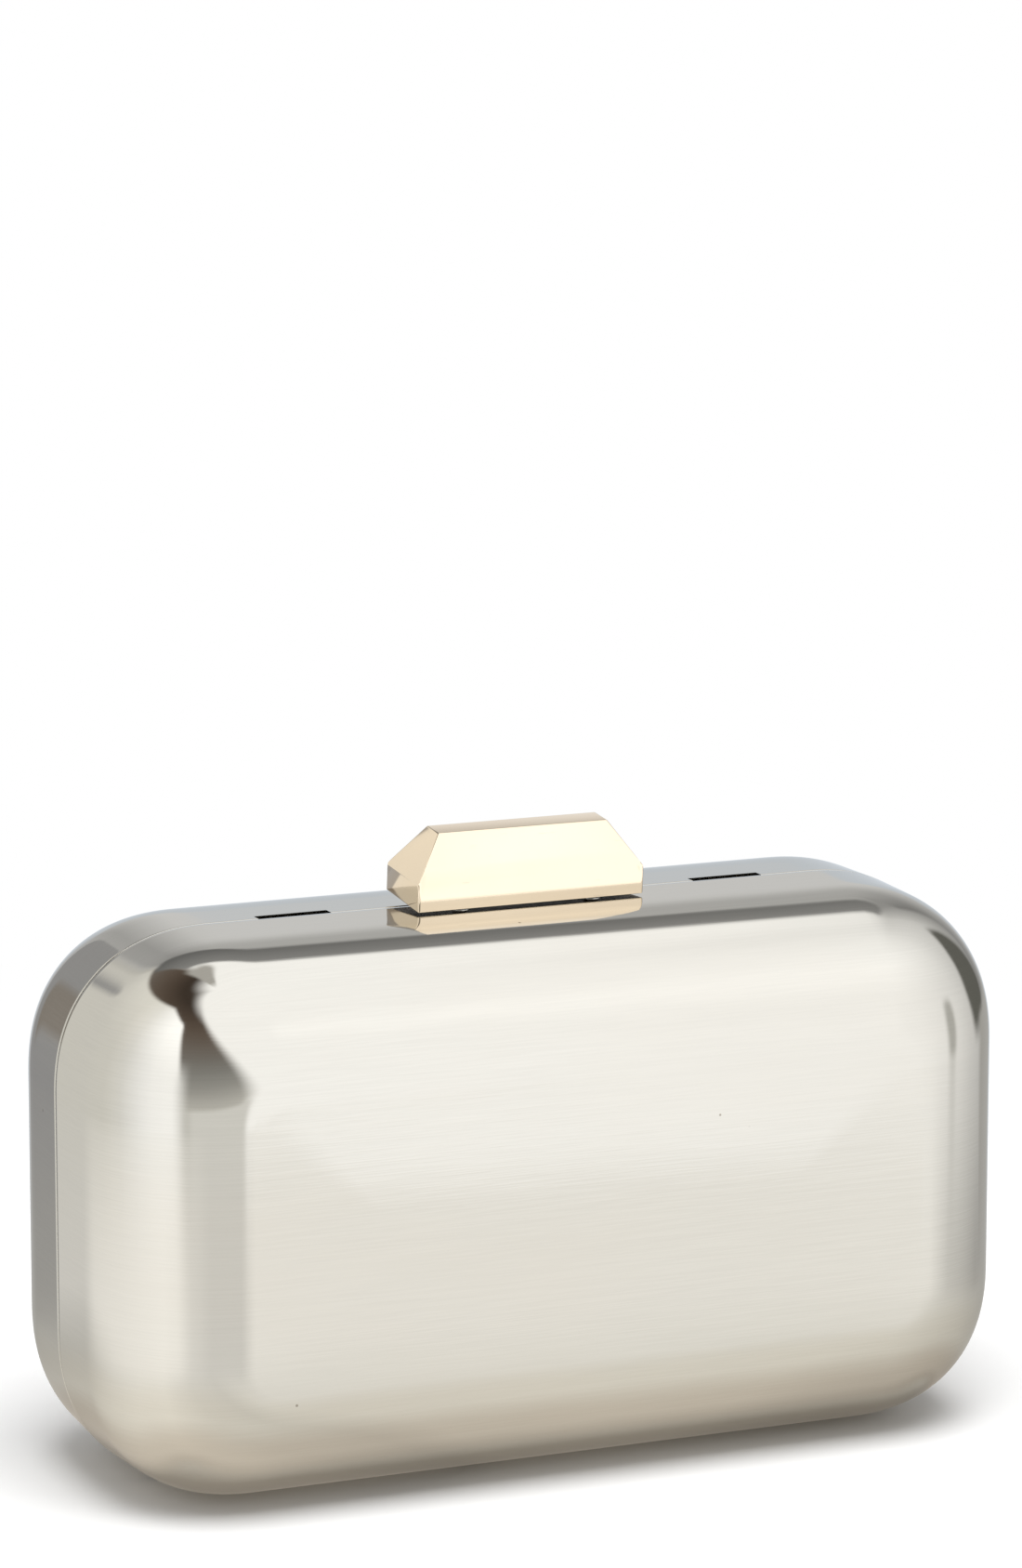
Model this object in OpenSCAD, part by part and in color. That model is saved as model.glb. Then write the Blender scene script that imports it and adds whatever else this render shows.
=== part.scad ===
// Hard box clutch: two metal shells hinged along the base seam, with a rocking bar clasp on top.
// Millimetres. +X is to the right, +Z is up, and the front face looks along -Y.
// The origin is on the surface the bag stands on, at the middle of the base seam.

/* [Body] */
// Width over both ends
body_w = 178; // [150:1:210]
// Height from the base to the top of the shells
body_h = 102; // [85:1:130]
// Depth over both faces
body_depth = 75; // [66:1:90]
// Radius of the four corners, seen from the front
corner_r = 27.5; // [26:0.5:32]
// Radius of the edge between the side walls and a face
edge_r = 24.5; // [20:0.5:26]
// Thickness of the shell metal
shell_wall = 0.8; // [0.6:0.1:1.2]
// Open line between the two halves when they are shut
seam_gap = 0.3; // [0.2:0.05:0.5]

/* [Rim frames] */
// Thickness of the metal strip inside each rim
frame_wall = 0.8; // [0.6:0.1:1.2]
// Reach of the strip behind the seam
frame_reach = 10; // [9.5:0.5:12]
// How far the locating lip stands into the front half
lip_reach = 1.5; // [1:0.1:2]
// Clearance round the locating lip
lip_clear = 0.3; // [0.2:0.05:0.5]
// Height below which the lip is left out, so that it clears the hinge
lip_start = 30; // [28:1:36]

/* [Inner trays] */
// Space between a rim strip and the card tray
tray_gap = 0.3; // [0.2:0.05:0.5]
// Thickness of the card tray
former_wall = 0.9; // [0.6:0.1:1.2]
// Space between the card and its satin
lining_gap = 0.1; // [0.05:0.05:0.3]
// Thickness of the satin lining
lining_wall = 0.8; // [0.6:0.1:1.2]
// Distance of the tray rims from the seam
tray_setback = 2.4; // [2.2:0.1:3]

/* [Hinge] */
// Distance from each end of the barrel to where the body's corner starts to turn
hinge_end_gap = 0.5; // [0.5:0.5:20]
// Number of knuckles, an odd count
knuckles = 9; // [5:2:13]
// Radius of the knuckles
knuckle_r = 1.7; // [1.6:0.05:1.8]
// Radius of the hinge pin
hinge_pin_r = 0.8; // [0.6:0.05:0.9]
// Running clearance between the pin and the front knuckles
pin_clear = 0.05; // [0.03:0.01:0.08]
// Gap between neighbouring knuckles
knuckle_gap = 0.2; // [0.15:0.05:0.4]
// Thickness of the hinge leaves
leaf_t = 0.8; // [0.6:0.1:1]
// Reach of a hinge leaf from the hinge axis
leaf_reach = 9; // [8:0.5:9.5]
// Clearance round the barrel and its tabs in the channel that they turn in
channel_clear = 0.19; // [0.15:0.01:0.3]
// Number of rivets in each hinge leaf
hinge_rivet_count = 6; // [4:1:8]

/* [Clasp bar] */
// Length of the bar
bar_len = 44.6; // [36:0.2:50]
// Depth of the bar from front to back
bar_depth = 15.6; // [14:0.2:18]
// Length of the narrow top facet
bar_top_len = 33.4; // [26:0.2:36]
// Depth of the narrow top facet
bar_top_depth = 5.4; // [5:0.2:8]
// Height of the upright band round the foot of the bar
bar_band_h = 5.1; // [4.6:0.1:6]
// Height of the four slopes above the band
bar_slope_h = 8; // [7:0.1:10]
// Distance of the bar's middle in front of the seam
bar_forward = 0.1; // [0:0.05:0.3]
// Air under the bar's front edge
bar_lift = 0.3; // [0.2:0.05:0.4]
// Lean of the bar towards the front when it is at rest, in degrees
bar_lean = 5.1; // [4.8:0.1:5.6]
// Angle that the bar tips back when it is pressed, in degrees
press_angle = 5.5; // [5.2:0.1:5.8]

/* [Lock] */
// Distance of each stem from the middle of the bar
stem_x = 13; // [12:0.5:14]
// Distance of the stems in front of the seam
stem_forward = 5; // [4.9:0.1:5.3]
// Radius of the stems
stem_r = 1.3; // [1.2:0.05:1.4]
// How far the ball that a stem rocks on stands out from it
ball_proud = 0.2; // [0.18:0.01:0.25]
// Radius of the threaded foot of a stem
stem_foot_r = 1; // [0.8:0.1:1.1]
// Running clearance of the balls in their ferrules
stem_clear = 0.05; // [0.03:0.01:0.08]
// Wall of a ferrule
ferrule_wall = 0.65; // [0.5:0.05:0.8]
// Room between the ferrules and the walls of the lock housing
housing_room = 2.35; // [1.5:0.05:2.5]
// Clearance under the feet of the stems
foot_clear = 1.15; // [0.9:0.05:1.3]
// Thickness of the housing sheet
housing_wall = 0.8; // [0.6:0.1:1]
// Distance between the two rivets of a housing ear
ear_rivet_pitch = 4; // [3.6:0.1:4.4]
// Thickness of the hook plate
hook_t = 1.2; // [1:0.1:1.4]
// Distance from the housing's top face to the hook plate
hook_drop = 4.2; // [4:0.1:4.4]
// Half width of the hook's tongue
tongue_half_w = 6; // [5:0.5:7]
// Height of the tooth above the hook plate
tooth_h = 1.8; // [1.7:0.05:1.9]
// How far the tooth stands up behind the keeper's lip
tooth_grip = 0.6; // [0.5:0.05:0.65]
// Distance of the keeper's lip behind the seam
keeper_lip_y = 3.4; // [3:0.1:4]
// Thickness of the keeper
keeper_t = 1; // [0.8:0.1:1.2]
// Reach of the keeper behind the seam
keeper_reach = 9.6; // [9:0.1:10]
// Height of the nuts under the hook plate
nut_h = 1.6; // [1.2:0.1:1.8]
// Radius over the corners of a nut
nut_corner_r = 2.2; // [2:0.1:2.4]
// Clearance between the tooth and the keeper's lip
tooth_clear = 0.3; // [0.2:0.05:0.4]
// Thickness of the return spring
spring_t = 0.4; // [0.3:0.05:0.5]
// Half length of the return spring
spring_half_len = 9.5; // [9:0.5:10]
// Width of the return spring
spring_w = 3.5; // [3:0.5:4]
// Room over the return spring for the hook plate to tip
spring_clear = 0.35; // [0.3:0.05:0.45]

/* [Chain anchors] */
// Distance of each chain slot from the middle
slot_x = 43; // [40:0.5:46]
// Length of a chain slot
slot_len = 14; // [12:0.5:16]
// Width of a chain slot, measured back from the seam
slot_w = 2.5; // [2:0.1:3]
// Distance of the lug's eye behind the seam
lug_eye_y = 7; // [6.8:0.1:7.4]
// Distance of the lug's eye below the strip that carries it
lug_eye_drop = 5.9; // [5.5:0.1:6.5]
// Radius of the hole in the lug
lug_hole_r = 1.6; // [1.5:0.05:1.8]
// Thickness of the lug's ear
lug_t = 1.2; // [1:0.1:1.4]
// Half width of the plate that carries the ear
lug_half_w = 5; // [4.8:0.1:5.4]
// Radius of a chain ring, to the middle of its wire
ring_r = 5; // [4.5:0.1:6]
// Radius of the ring's wire
ring_wire_r = 0.8; // [0.7:0.05:0.9]

/* [Rivets] */
// Radius of a rivet's shank
rivet_r = 0.9; // [0.7:0.05:1]
// Radius of a rivet's head
rivet_head_r = 1.6; // [1.4:0.1:1.8]
// Height of a rivet's head
rivet_head_h = 0.5; // [0.3:0.05:0.6]

/* [Hidden] */

$fn = 96;
// One overrun for every cut
cut = 1;
// Clearance of a rivet's shank in its hole
rivet_clear = 0.02;
// A touching pair of loose pieces stands this far apart
seat = 0.05;
half_depth = body_depth / 2;
// The rounded edge of a face runs round the corners, so it can't be wider than they are
face_edge_r = min(edge_r, corner_r);
// Levels under the top of the shells
strip_top = body_h - shell_wall;
plate_top = strip_top - frame_wall;
// Insets of the trays from the outside of the shells
former_inset = shell_wall + frame_wall + tray_gap;
lining_inset = former_inset + former_wall + lining_gap;
// The front strip starts behind the locating lip
front_strip_start = lip_reach + lip_clear;
lip_root = tray_setback - tray_gap;
// Hinge
leaf_floor = shell_wall + frame_wall;
hinge_z = leaf_floor + leaf_t;
leaf_start = knuckle_r + lip_clear;
// The hinge lies on the straight stretch of the base, between the two lower corners
hinge_len = body_w - 2 * (corner_r + hinge_end_gap);
knuckle_pitch = hinge_len / knuckles;
hinge_cover_r = knuckle_r + leaf_t;
channel_r = norm([leaf_start + leaf_t, leaf_t]) + channel_clear;
// The channel ends where the rising rim has passed the hinge axis
channel_half_len = body_w / 2 - corner_r + sqrt(pow(corner_r, 2) - pow(corner_r - hinge_z, 2)) + leaf_t;
hinge_rivet_y = (leaf_start + leaf_reach) / 2;
hinge_rivet_span = hinge_len - 2 * rivet_head_r - 2 * leaf_t;
// Bar and stems
bar_z = body_h + bar_lift;
bar_h = bar_band_h + bar_slope_h;
stem_socket = bar_band_h / 2;
stem_ball_r = stem_r + ball_proud;
ferrule_r = stem_ball_r + stem_clear + ferrule_wall;
ferrule_flange_r = ferrule_r + ferrule_wall;
ferrule_foot_z = plate_top - 2 * housing_wall;
// The bar rocks about the balls, half way up the ferrules
pivot_z = (ferrule_foot_z + body_h) / 2;
// Housing and hook
housing_half_w = stem_x + ferrule_flange_r + housing_room + housing_wall;
housing_reach = stem_forward + ferrule_flange_r + housing_room + housing_wall;
housing_rear = front_strip_start;
ear_half_w = housing_half_w + 2 * rivet_head_r + 2 * housing_wall;
ear_rivet_x = (housing_half_w + ear_half_w) / 2;
ear_rivet_y = frame_reach - rivet_head_r;
hook_z = plate_top - hook_drop - hook_t;
hook_half_w = housing_half_w - housing_wall - lip_clear;
hook_front = housing_reach - housing_wall - lip_clear - hook_t;
tooth_front = keeper_lip_y + keeper_t + tooth_clear;
stem_foot_end = hook_z - nut_h - seat - hook_t / 3;
housing_floor_z = stem_foot_end - foot_clear - housing_wall;
// Drop of the tongue's end when the bar is pressed
tongue_drop = (tooth_front + hook_t + stem_forward) * sin(press_angle);
// Keeper
keeper_half_w = 2 * (tongue_half_w - keeper_t / 2);
keeper_lip_z = hook_z + hook_t + tooth_h - tooth_grip;
keeper_rivet_x = (tongue_half_w + keeper_t + keeper_half_w) / 2;
keeper_rivet_y = keeper_lip_y + keeper_t + rivet_head_r + seat;
// Return spring, a shallow bow
spring_room = hook_z - housing_floor_z - housing_wall - seat - spring_clear;
spring_rise = spring_room - spring_t;
spring_bow_r = (pow(spring_half_len, 2) + pow(spring_rise, 2)) / (2 * spring_rise);
// Chain lugs and rings
lug_plate_t = frame_wall;
lug_front = slot_w + lip_clear;
lug_rear = lug_eye_y + lug_hole_r + lug_t;
lug_eye_z = plate_top - lug_eye_drop;
lug_foot_r = lug_hole_r + lug_plate_t;
lug_rivet_x = (lug_half_w + lug_t / 2) / 2;
lug_rivet_y = lug_eye_y;
ring_z = lug_eye_z - lug_hole_r + ring_wire_r + seat - ring_r;

// Colours
champagne = [0.87, 0.86, 0.82];
pale_gold = [0.93, 0.85, 0.70];
nickel = [0.72, 0.71, 0.69];
steel = [0.62, 0.62, 0.61];
card_grey = [0.55, 0.53, 0.50];
satin = [0.80, 0.76, 0.69];

// Outline of a side wall and its rounded edge, from the middle outwards and from the seam to the face
module edge_section(reach, depth, round_r) {
    square([reach, depth - round_r]);
    square([reach - round_r, depth]);
    if (round_r > 0)
        translate([reach - round_r, depth - round_r])
            intersection() {
                circle(round_r);
                square(round_r);
            }
}

// Rounded block lying on its open side: X is the width, Y the height and Z the depth towards the face
module rounded_block(w, h, depth, turn_r, round_r) {
    flat_w = w - 2 * turn_r;
    flat_h = h - 2 * turn_r;
    translate([-flat_w / 2, turn_r, 0])
        cube([flat_w, flat_h, depth]);
    for (k = [0, 1]) {
        // Straight walls at the two ends, then above and below
        translate([0, h / 2, 0])
            rotate([0, 0, 180 * k])
                translate([flat_w / 2, flat_h / 2, 0])
                    rotate([90, 0, 0])
                        linear_extrude(flat_h)
                            edge_section(turn_r, depth, round_r);
        translate([0, h / 2, 0])
            rotate([0, 0, 180 * k])
                translate([-flat_w / 2, flat_h / 2, 0])
                    rotate([90, 0, 90])
                        linear_extrude(flat_w)
                            edge_section(turn_r, depth, round_r);
        // Turned corners
        for (side = [0, 1])
            translate([0, h / 2, 0])
                rotate([0, 0, 180 * k])
                    mirror([side, 0, 0])
                        translate([flat_w / 2, flat_h / 2, 0])
                            rotate_extrude(angle = 90)
                                edge_section(turn_r, depth, round_r);
    }
}

// The body's own shape drawn in by an inset, from a distance behind the seam to the face
module inset_block(inset, start, round_r = face_edge_r, reach = half_depth) {
    translate([0, inset, start])
        rounded_block(body_w - 2 * inset, body_h - 2 * inset, reach - start, corner_r - inset, round_r);
}

// Tray of even wall with its rim at start
module tray(inset, wall, start) {
    difference() {
        inset_block(inset, start, face_edge_r - inset, half_depth - inset);
        inset_block(inset + wall, start - cut, face_edge_r - inset - wall, half_depth - inset - wall);
    }
}

// Strip round the inside of a rim
module rim_strip(inset, wall, start, end) {
    difference() {
        inset_block(inset, start, 0, end);
        inset_block(inset + wall, start - cut, 0, end + cut);
    }
}

// Stands a lying half up, in front of the seam or behind it
module in_front() {
    rotate([90, 0, 0])
        children();
}
module behind() {
    mirror([0, 1, 0])
        in_front()
            children();
}

// Box centred on X, between two depths behind the seam and two heights
module room(half_w, y_from, y_to, z_from, z_to) {
    translate([-half_w, y_from, z_from])
        cube([2 * half_w, y_to - y_from, z_to - z_from]);
}

// Round channel along the base seam, where the hinge turns
module hinge_channel() {
    translate([-channel_half_len, 0, hinge_z])
        rotate([0, 90, 0])
            cylinder(r = channel_r, h = 2 * channel_half_len);
}

// Room over the hinge leaves and their rivet heads, in both trays
module hinge_room() {
    room(hinge_len / 2 + tray_gap, -leaf_reach - tray_gap, leaf_reach + tray_gap,
        -cut, hinge_z + rivet_head_h + tray_gap);
    room(hinge_len / 2 + tray_gap, -channel_r, channel_r, -cut, hinge_z + hinge_cover_r);
}

// Chain slots in the rear rim
module chain_slots(depth_below) {
    for (side = [-1, 1])
        translate([side * slot_x, 0, 0])
            room(slot_len / 2, -lip_reach - cut, slot_w, body_h - depth_below, body_h + cut);
}

module stem_places() {
    for (side = [-1, 1])
        translate([side * stem_x, -stem_forward, 0])
            children();
}
module ear_rivet_places() {
    for (side = [-1, 1], row = [0, 1])
        translate([side * ear_rivet_x, row * ear_rivet_pitch - ear_rivet_y, 0])
            children();
}
module keeper_rivet_places() {
    for (side = [-1, 1])
        translate([side * keeper_rivet_x, keeper_rivet_y, 0])
            children();
}
module lug_rivet_places() {
    for (side = [-1, 1], pair = [-1, 1])
        translate([side * slot_x + pair * lug_rivet_x, lug_rivet_y, 0])
            children();
}
module hinge_rivet_places(side) {
    for (i = [0 : hinge_rivet_count - 1])
        translate([(i / (hinge_rivet_count - 1) - 1 / 2) * hinge_rivet_span, side * hinge_rivet_y, 0])
            children();
}

// Hole for a rivet, through everything from z_from to z_to
module rivet_hole(z_from, z_to) {
    translate([0, 0, z_from])
        cylinder(r = rivet_r + rivet_clear, h = z_to - z_from);
}

// Rivet with its domed head below and its shank up to z_to
module hanging_rivet(head_z, z_to) {
    translate([0, 0, head_z - rivet_head_h])
        cylinder(r1 = rivet_r, r2 = rivet_head_r, h = rivet_head_h);
    translate([0, 0, head_z - rivet_head_h / 2])
        cylinder(r = rivet_r, h = z_to - head_z + rivet_head_h / 2);
}

module rear_shell() {
    color(champagne)
        difference() {
            behind()
                difference() {
                    inset_block(0, seam_gap / 2);
                    inset_block(shell_wall, -cut, face_edge_r - shell_wall, half_depth - shell_wall);
                }
            hinge_channel();
            chain_slots(2 * shell_wall);
        }
}

module front_shell() {
    color(champagne)
        difference() {
            in_front()
                difference() {
                    inset_block(0, seam_gap / 2);
                    inset_block(shell_wall, -cut, face_edge_r - shell_wall, half_depth - shell_wall);
                }
            hinge_channel();
            stem_places()
                translate([0, 0, body_h - 2 * shell_wall])
                    cylinder(r = ferrule_r + rivet_clear, h = 2 * shell_wall + cut);
        }
}

module rear_frame() {
    color(nickel)
        difference() {
            behind() {
                rim_strip(shell_wall, frame_wall, seam_gap / 2, frame_reach);
                // Locating lip, set in from the shell so that it slides into the front rim
                difference() {
                    rim_strip(shell_wall + lip_clear, frame_wall, -lip_reach, lip_root);
                    translate([-body_w, -cut, -lip_reach - cut])
                        cube([2 * body_w, lip_start + cut, lip_reach + lip_root + 2 * cut]);
                }
            }
            hinge_channel();
            chain_slots(2 * (shell_wall + frame_wall) + lip_clear);
            // The lip makes way for the lock housing and its hook
            room(ear_half_w + lip_clear, -lip_reach - cut, seam_gap / 2, body_h / 2, body_h);
            keeper_rivet_places()
                rivet_hole(plate_top - cut, strip_top + cut);
            lug_rivet_places()
                rivet_hole(plate_top - cut, strip_top + cut);
            hinge_rivet_places(1)
                rivet_hole(shell_wall - cut, hinge_z);
        }
}

module front_frame() {
    color(nickel)
        difference() {
            in_front()
                rim_strip(shell_wall, frame_wall, front_strip_start, frame_reach);
            hinge_channel();
            stem_places()
                translate([0, 0, plate_top - cut])
                    cylinder(r = ferrule_r + rivet_clear, h = frame_wall + 2 * cut);
            ear_rivet_places()
                rivet_hole(plate_top - cut, strip_top + cut);
            hinge_rivet_places(-1)
                rivet_hole(shell_wall - cut, hinge_z);
        }
}

// Room for the lock housing in the front tray
module lock_room() {
    room(ear_half_w + tray_gap, -housing_reach - tray_gap, 0, housing_floor_z - tray_gap, body_h);
}

// Room for the keeper, the hook and the chain lugs in the rear tray
module anchor_room() {
    room(keeper_half_w + tray_gap, 0, keeper_reach + tray_gap, hook_z - tongue_drop - tray_gap, body_h);
    for (side = [-1, 1])
        translate([side * slot_x, 0, 0])
            room(slot_len / 2 + tray_gap, 0, lug_rear + tray_gap, lug_eye_z - lug_foot_r - tray_gap, body_h);
}

module rear_former() {
    color(card_grey)
        difference() {
            behind()
                tray(former_inset, former_wall, tray_setback);
            hinge_channel();
            hinge_room();
            anchor_room();
        }
}

module front_former() {
    color(card_grey)
        difference() {
            in_front()
                tray(former_inset, former_wall, tray_setback);
            hinge_channel();
            hinge_room();
            lock_room();
        }
}

module rear_lining() {
    color(satin)
        difference() {
            behind()
                tray(lining_inset, lining_wall, tray_setback);
            hinge_channel();
            hinge_room();
            anchor_room();
        }
}

module front_lining() {
    color(satin)
        difference() {
            in_front()
                tray(lining_inset, lining_wall, tray_setback);
            hinge_channel();
            hinge_room();
            lock_room();
        }
}

// Hinge leaf on one side of the seam, carrying every second knuckle from the first one given
module hinge_leaf(side, first, bore_r) {
    difference() {
        union() {
            room(hinge_len / 2, min(side * leaf_start, side * leaf_reach),
                max(side * leaf_start, side * leaf_reach), leaf_floor, leaf_floor + leaf_t);
            for (i = [first : 2 : knuckles - 1])
                translate([-hinge_len / 2 + i * knuckle_pitch + knuckle_gap / 2, 0, 0]) {
                    translate([0, 0, hinge_z])
                        rotate([0, 90, 0])
                            cylinder(r = knuckle_r, h = knuckle_pitch - knuckle_gap);
                    translate([0, min(0, side * (leaf_start + leaf_t)), leaf_floor])
                        cube([knuckle_pitch - knuckle_gap, leaf_start + leaf_t, leaf_t]);
                }
        }
        translate([-hinge_len / 2 - cut, 0, hinge_z])
            rotate([0, 90, 0])
                cylinder(r = bore_r, h = hinge_len + 2 * cut);
        hinge_rivet_places(side)
            rivet_hole(leaf_floor - cut, leaf_floor + leaf_t + cut);
    }
}

module rear_hinge_leaf() {
    color(nickel)
        hinge_leaf(1, 0, hinge_pin_r);
}

module front_hinge_leaf() {
    color(nickel)
        hinge_leaf(-1, 1, hinge_pin_r + pin_clear);
}

module hinge_pin() {
    color(steel)
        translate([-hinge_len / 2, 0, hinge_z])
            rotate([0, 90, 0])
                cylinder(r = hinge_pin_r, h = hinge_len);
}

// Rivets that stand up through a hinge leaf
module hinge_rivets(side) {
    hinge_rivet_places(side) {
        translate([0, 0, shell_wall])
            cylinder(r = rivet_r, h = frame_wall + leaf_t + rivet_head_h / 2);
        translate([0, 0, leaf_floor + leaf_t])
            cylinder(r1 = rivet_head_r, r2 = rivet_r, h = rivet_head_h);
    }
}

module rear_hinge_rivets() {
    color(steel)
        hinge_rivets(1);
}

module front_hinge_rivets() {
    color(steel)
        hinge_rivets(-1);
}

// The bar's own place, leaning forward about the front edge of its foot
module bar_place() {
    translate([0, -bar_forward - bar_depth / 2, bar_z])
        rotate([bar_lean, 0, 0])
            children();
}

// Step-cut bar: a straight band with four slopes that meet a narrow flat top
module clasp_bar() {
    color(pale_gold)
        difference() {
            bar_place()
                translate([0, bar_depth / 2, 0])
                    intersection() {
                        translate([0, bar_depth / 2, 0])
                            rotate([90, 0, 0])
                                linear_extrude(bar_depth)
                                    bar_outline(bar_len, bar_top_len);
                        translate([-bar_len / 2, 0, 0])
                            rotate([90, 0, 90])
                                linear_extrude(bar_len)
                                    bar_outline(bar_depth, bar_top_depth);
                    }
            stem_places()
                translate([0, 0, bar_z - cut])
                    cylinder(r = stem_foot_r, h = stem_socket + cut);
        }
}

// Outline of the bar, the same rule seen from the front and from the end
module bar_outline(base, top) {
    polygon([[-base / 2, 0], [base / 2, 0], [base / 2, bar_band_h], [top / 2, bar_h],
        [-top / 2, bar_h], [-base / 2, bar_band_h]]);
}

// Stem with a ball that rocks in its ferrule, and a thinner end in the bar and in the hook plate
module clasp_stems() {
    color(steel) {
        difference() {
            stem_places() {
                translate([0, 0, hook_z + hook_t])
                    cylinder(r = stem_r, h = bar_z + stem_socket - hook_z - hook_t);
                translate([0, 0, pivot_z])
                    sphere(stem_ball_r);
            }
            // The shoulder under the bar leans as the bar does
            bar_place()
                translate([-bar_len / 2, 0, -seat])
                    cube([bar_len, bar_depth, bar_h]);
        }
        stem_places() {
            translate([0, 0, pivot_z])
                cylinder(r = stem_foot_r, h = bar_z + stem_socket - pivot_z);
            translate([0, 0, stem_foot_end])
                cylinder(r = stem_foot_r, h = hook_z + hook_t + cut - stem_foot_end);
        }
    }
}

module stem_ferrules() {
    color(nickel)
        stem_places()
            difference() {
                union() {
                    translate([0, 0, plate_top - housing_wall])
                        cylinder(r = ferrule_r, h = body_h - plate_top + housing_wall);
                    translate([0, 0, ferrule_foot_z])
                        cylinder(r = ferrule_flange_r, h = housing_wall);
                }
                translate([0, 0, ferrule_foot_z - cut])
                    cylinder(r = stem_ball_r + stem_clear, h = body_h - ferrule_foot_z + 2 * cut);
            }
}

// Plate across both stems, with a tongue that reaches behind the keeper and ends in an upturned tooth
module latch_hook() {
    color(steel)
        difference() {
            union() {
                room(hook_half_w, -hook_front, -housing_rear - hook_t, hook_z, hook_z + hook_t);
                room(tongue_half_w, -housing_rear - 2 * hook_t, tooth_front + hook_t, hook_z, hook_z + hook_t);
                translate([-tongue_half_w, tooth_front, hook_z])
                    rotate([90, 0, 90])
                        linear_extrude(2 * tongue_half_w)
                            polygon([[0, 0], [hook_t, 0], [hook_t, hook_t], [hook_t / 2, hook_t + tooth_h],
                                [0, hook_t + tooth_h]]);
            }
            stem_places()
                translate([0, 0, hook_z - cut])
                    cylinder(r = stem_foot_r + rivet_clear, h = hook_t + 2 * cut);
        }
}

module stem_nuts() {
    color(nickel)
        stem_places()
            translate([0, 0, hook_z - nut_h - seat])
                difference() {
                    cylinder(r = nut_corner_r, h = nut_h, $fn = 6);
                    translate([0, 0, -cut])
                        cylinder(r = stem_foot_r + rivet_clear, h = nut_h + 2 * cut);
                }
}

// Sheet box under the front strip, open towards the seam, with an ear at each end
module lock_housing() {
    color(nickel)
        difference() {
            union() {
                room(housing_half_w, -housing_reach, -housing_rear, housing_floor_z, plate_top);
                room(ear_half_w, -frame_reach, -housing_rear, plate_top - housing_wall, plate_top);
            }
            room(housing_half_w - housing_wall, -housing_reach + housing_wall, cut,
                housing_floor_z + housing_wall, plate_top - housing_wall);
            stem_places()
                translate([0, 0, plate_top - housing_wall - cut])
                    cylinder(r = ferrule_r + rivet_clear, h = housing_wall + 2 * cut);
            ear_rivet_places()
                rivet_hole(plate_top - housing_wall - cut, plate_top + cut);
        }
}

module housing_rivets() {
    color(steel)
        ear_rivet_places()
            hanging_rivet(plate_top - housing_wall, strip_top);
}

// Bowed leaf on the housing's floor, under the hook plate and behind the stems
module return_spring() {
    color(steel)
        translate([0, -housing_rear - tray_gap, housing_floor_z + housing_wall + seat])
            rotate([90, 0, 0])
                linear_extrude(spring_w)
                    intersection() {
                        translate([0, spring_room - spring_bow_r])
                            difference() {
                                circle(spring_bow_r, $fn = 360);
                                circle(spring_bow_r - spring_t, $fn = 360);
                            }
                        translate([-spring_half_len, 0])
                            square([2 * spring_half_len, spring_room + cut]);
                    }
}

// Plate under the rear strip with the turned-down lip that the tooth catches
module keeper() {
    color(steel)
        difference() {
            union() {
                room(keeper_half_w, keeper_lip_y, keeper_reach, plate_top - keeper_t, plate_top);
                room(tongue_half_w + keeper_t, keeper_lip_y, keeper_lip_y + keeper_t, keeper_lip_z, plate_top);
            }
            keeper_rivet_places()
                rivet_hole(plate_top - keeper_t - cut, plate_top + cut);
        }
}

module keeper_rivets() {
    color(steel)
        keeper_rivet_places()
            hanging_rivet(plate_top - keeper_t, strip_top);
}

// Plate under the rear strip with an ear that carries a chain ring
module chain_lug(side) {
    translate([side * slot_x, 0, 0])
        difference() {
            union() {
                room(lug_half_w, lug_front, lug_rear, plate_top - lug_plate_t, plate_top);
                translate([-lug_t / 2, lug_eye_y, lug_eye_z])
                    rotate([0, 90, 0])
                        cylinder(r = lug_foot_r, h = lug_t);
                room(lug_t / 2, lug_eye_y - lug_foot_r, lug_eye_y + lug_foot_r, lug_eye_z, plate_top);
            }
            translate([-lug_t / 2 - cut, lug_eye_y, lug_eye_z])
                rotate([0, 90, 0])
                    cylinder(r = lug_hole_r, h = lug_t + 2 * cut);
            translate([-side * slot_x, 0, 0])
                lug_rivet_places()
                    rivet_hole(plate_top - lug_plate_t - cut, plate_top + cut);
        }
}

module left_chain_lug() {
    color(nickel)
        chain_lug(-1);
}

module right_chain_lug() {
    color(nickel)
        chain_lug(1);
}

module lug_rivets() {
    color(steel)
        lug_rivet_places()
            hanging_rivet(plate_top - lug_plate_t, strip_top);
}

// Wire ring that hangs in a lug's eye
module chain_ring(side) {
    translate([side * slot_x, lug_eye_y, ring_z])
        rotate([90, 0, 0])
            rotate_extrude()
                translate([ring_r, 0])
                    circle(ring_wire_r, $fn = 48);
}

module left_chain_ring() {
    color(pale_gold)
        chain_ring(-1);
}

module right_chain_ring() {
    color(pale_gold)
        chain_ring(1);
}

rear_shell();
front_shell();
rear_frame();
front_frame();
rear_former();
front_former();
rear_lining();
front_lining();
rear_hinge_leaf();
front_hinge_leaf();
hinge_pin();
rear_hinge_rivets();
front_hinge_rivets();
clasp_bar();
clasp_stems();
stem_ferrules();
latch_hook();
stem_nuts();
lock_housing();
housing_rivets();
return_spring();
keeper();
keeper_rivets();
left_chain_lug();
right_chain_lug();
lug_rivets();
left_chain_ring();
right_chain_ring();
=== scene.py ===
from functools import partialmethod
from math import atan, cos, degrees, hypot, pi, radians, sin, tau

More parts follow.
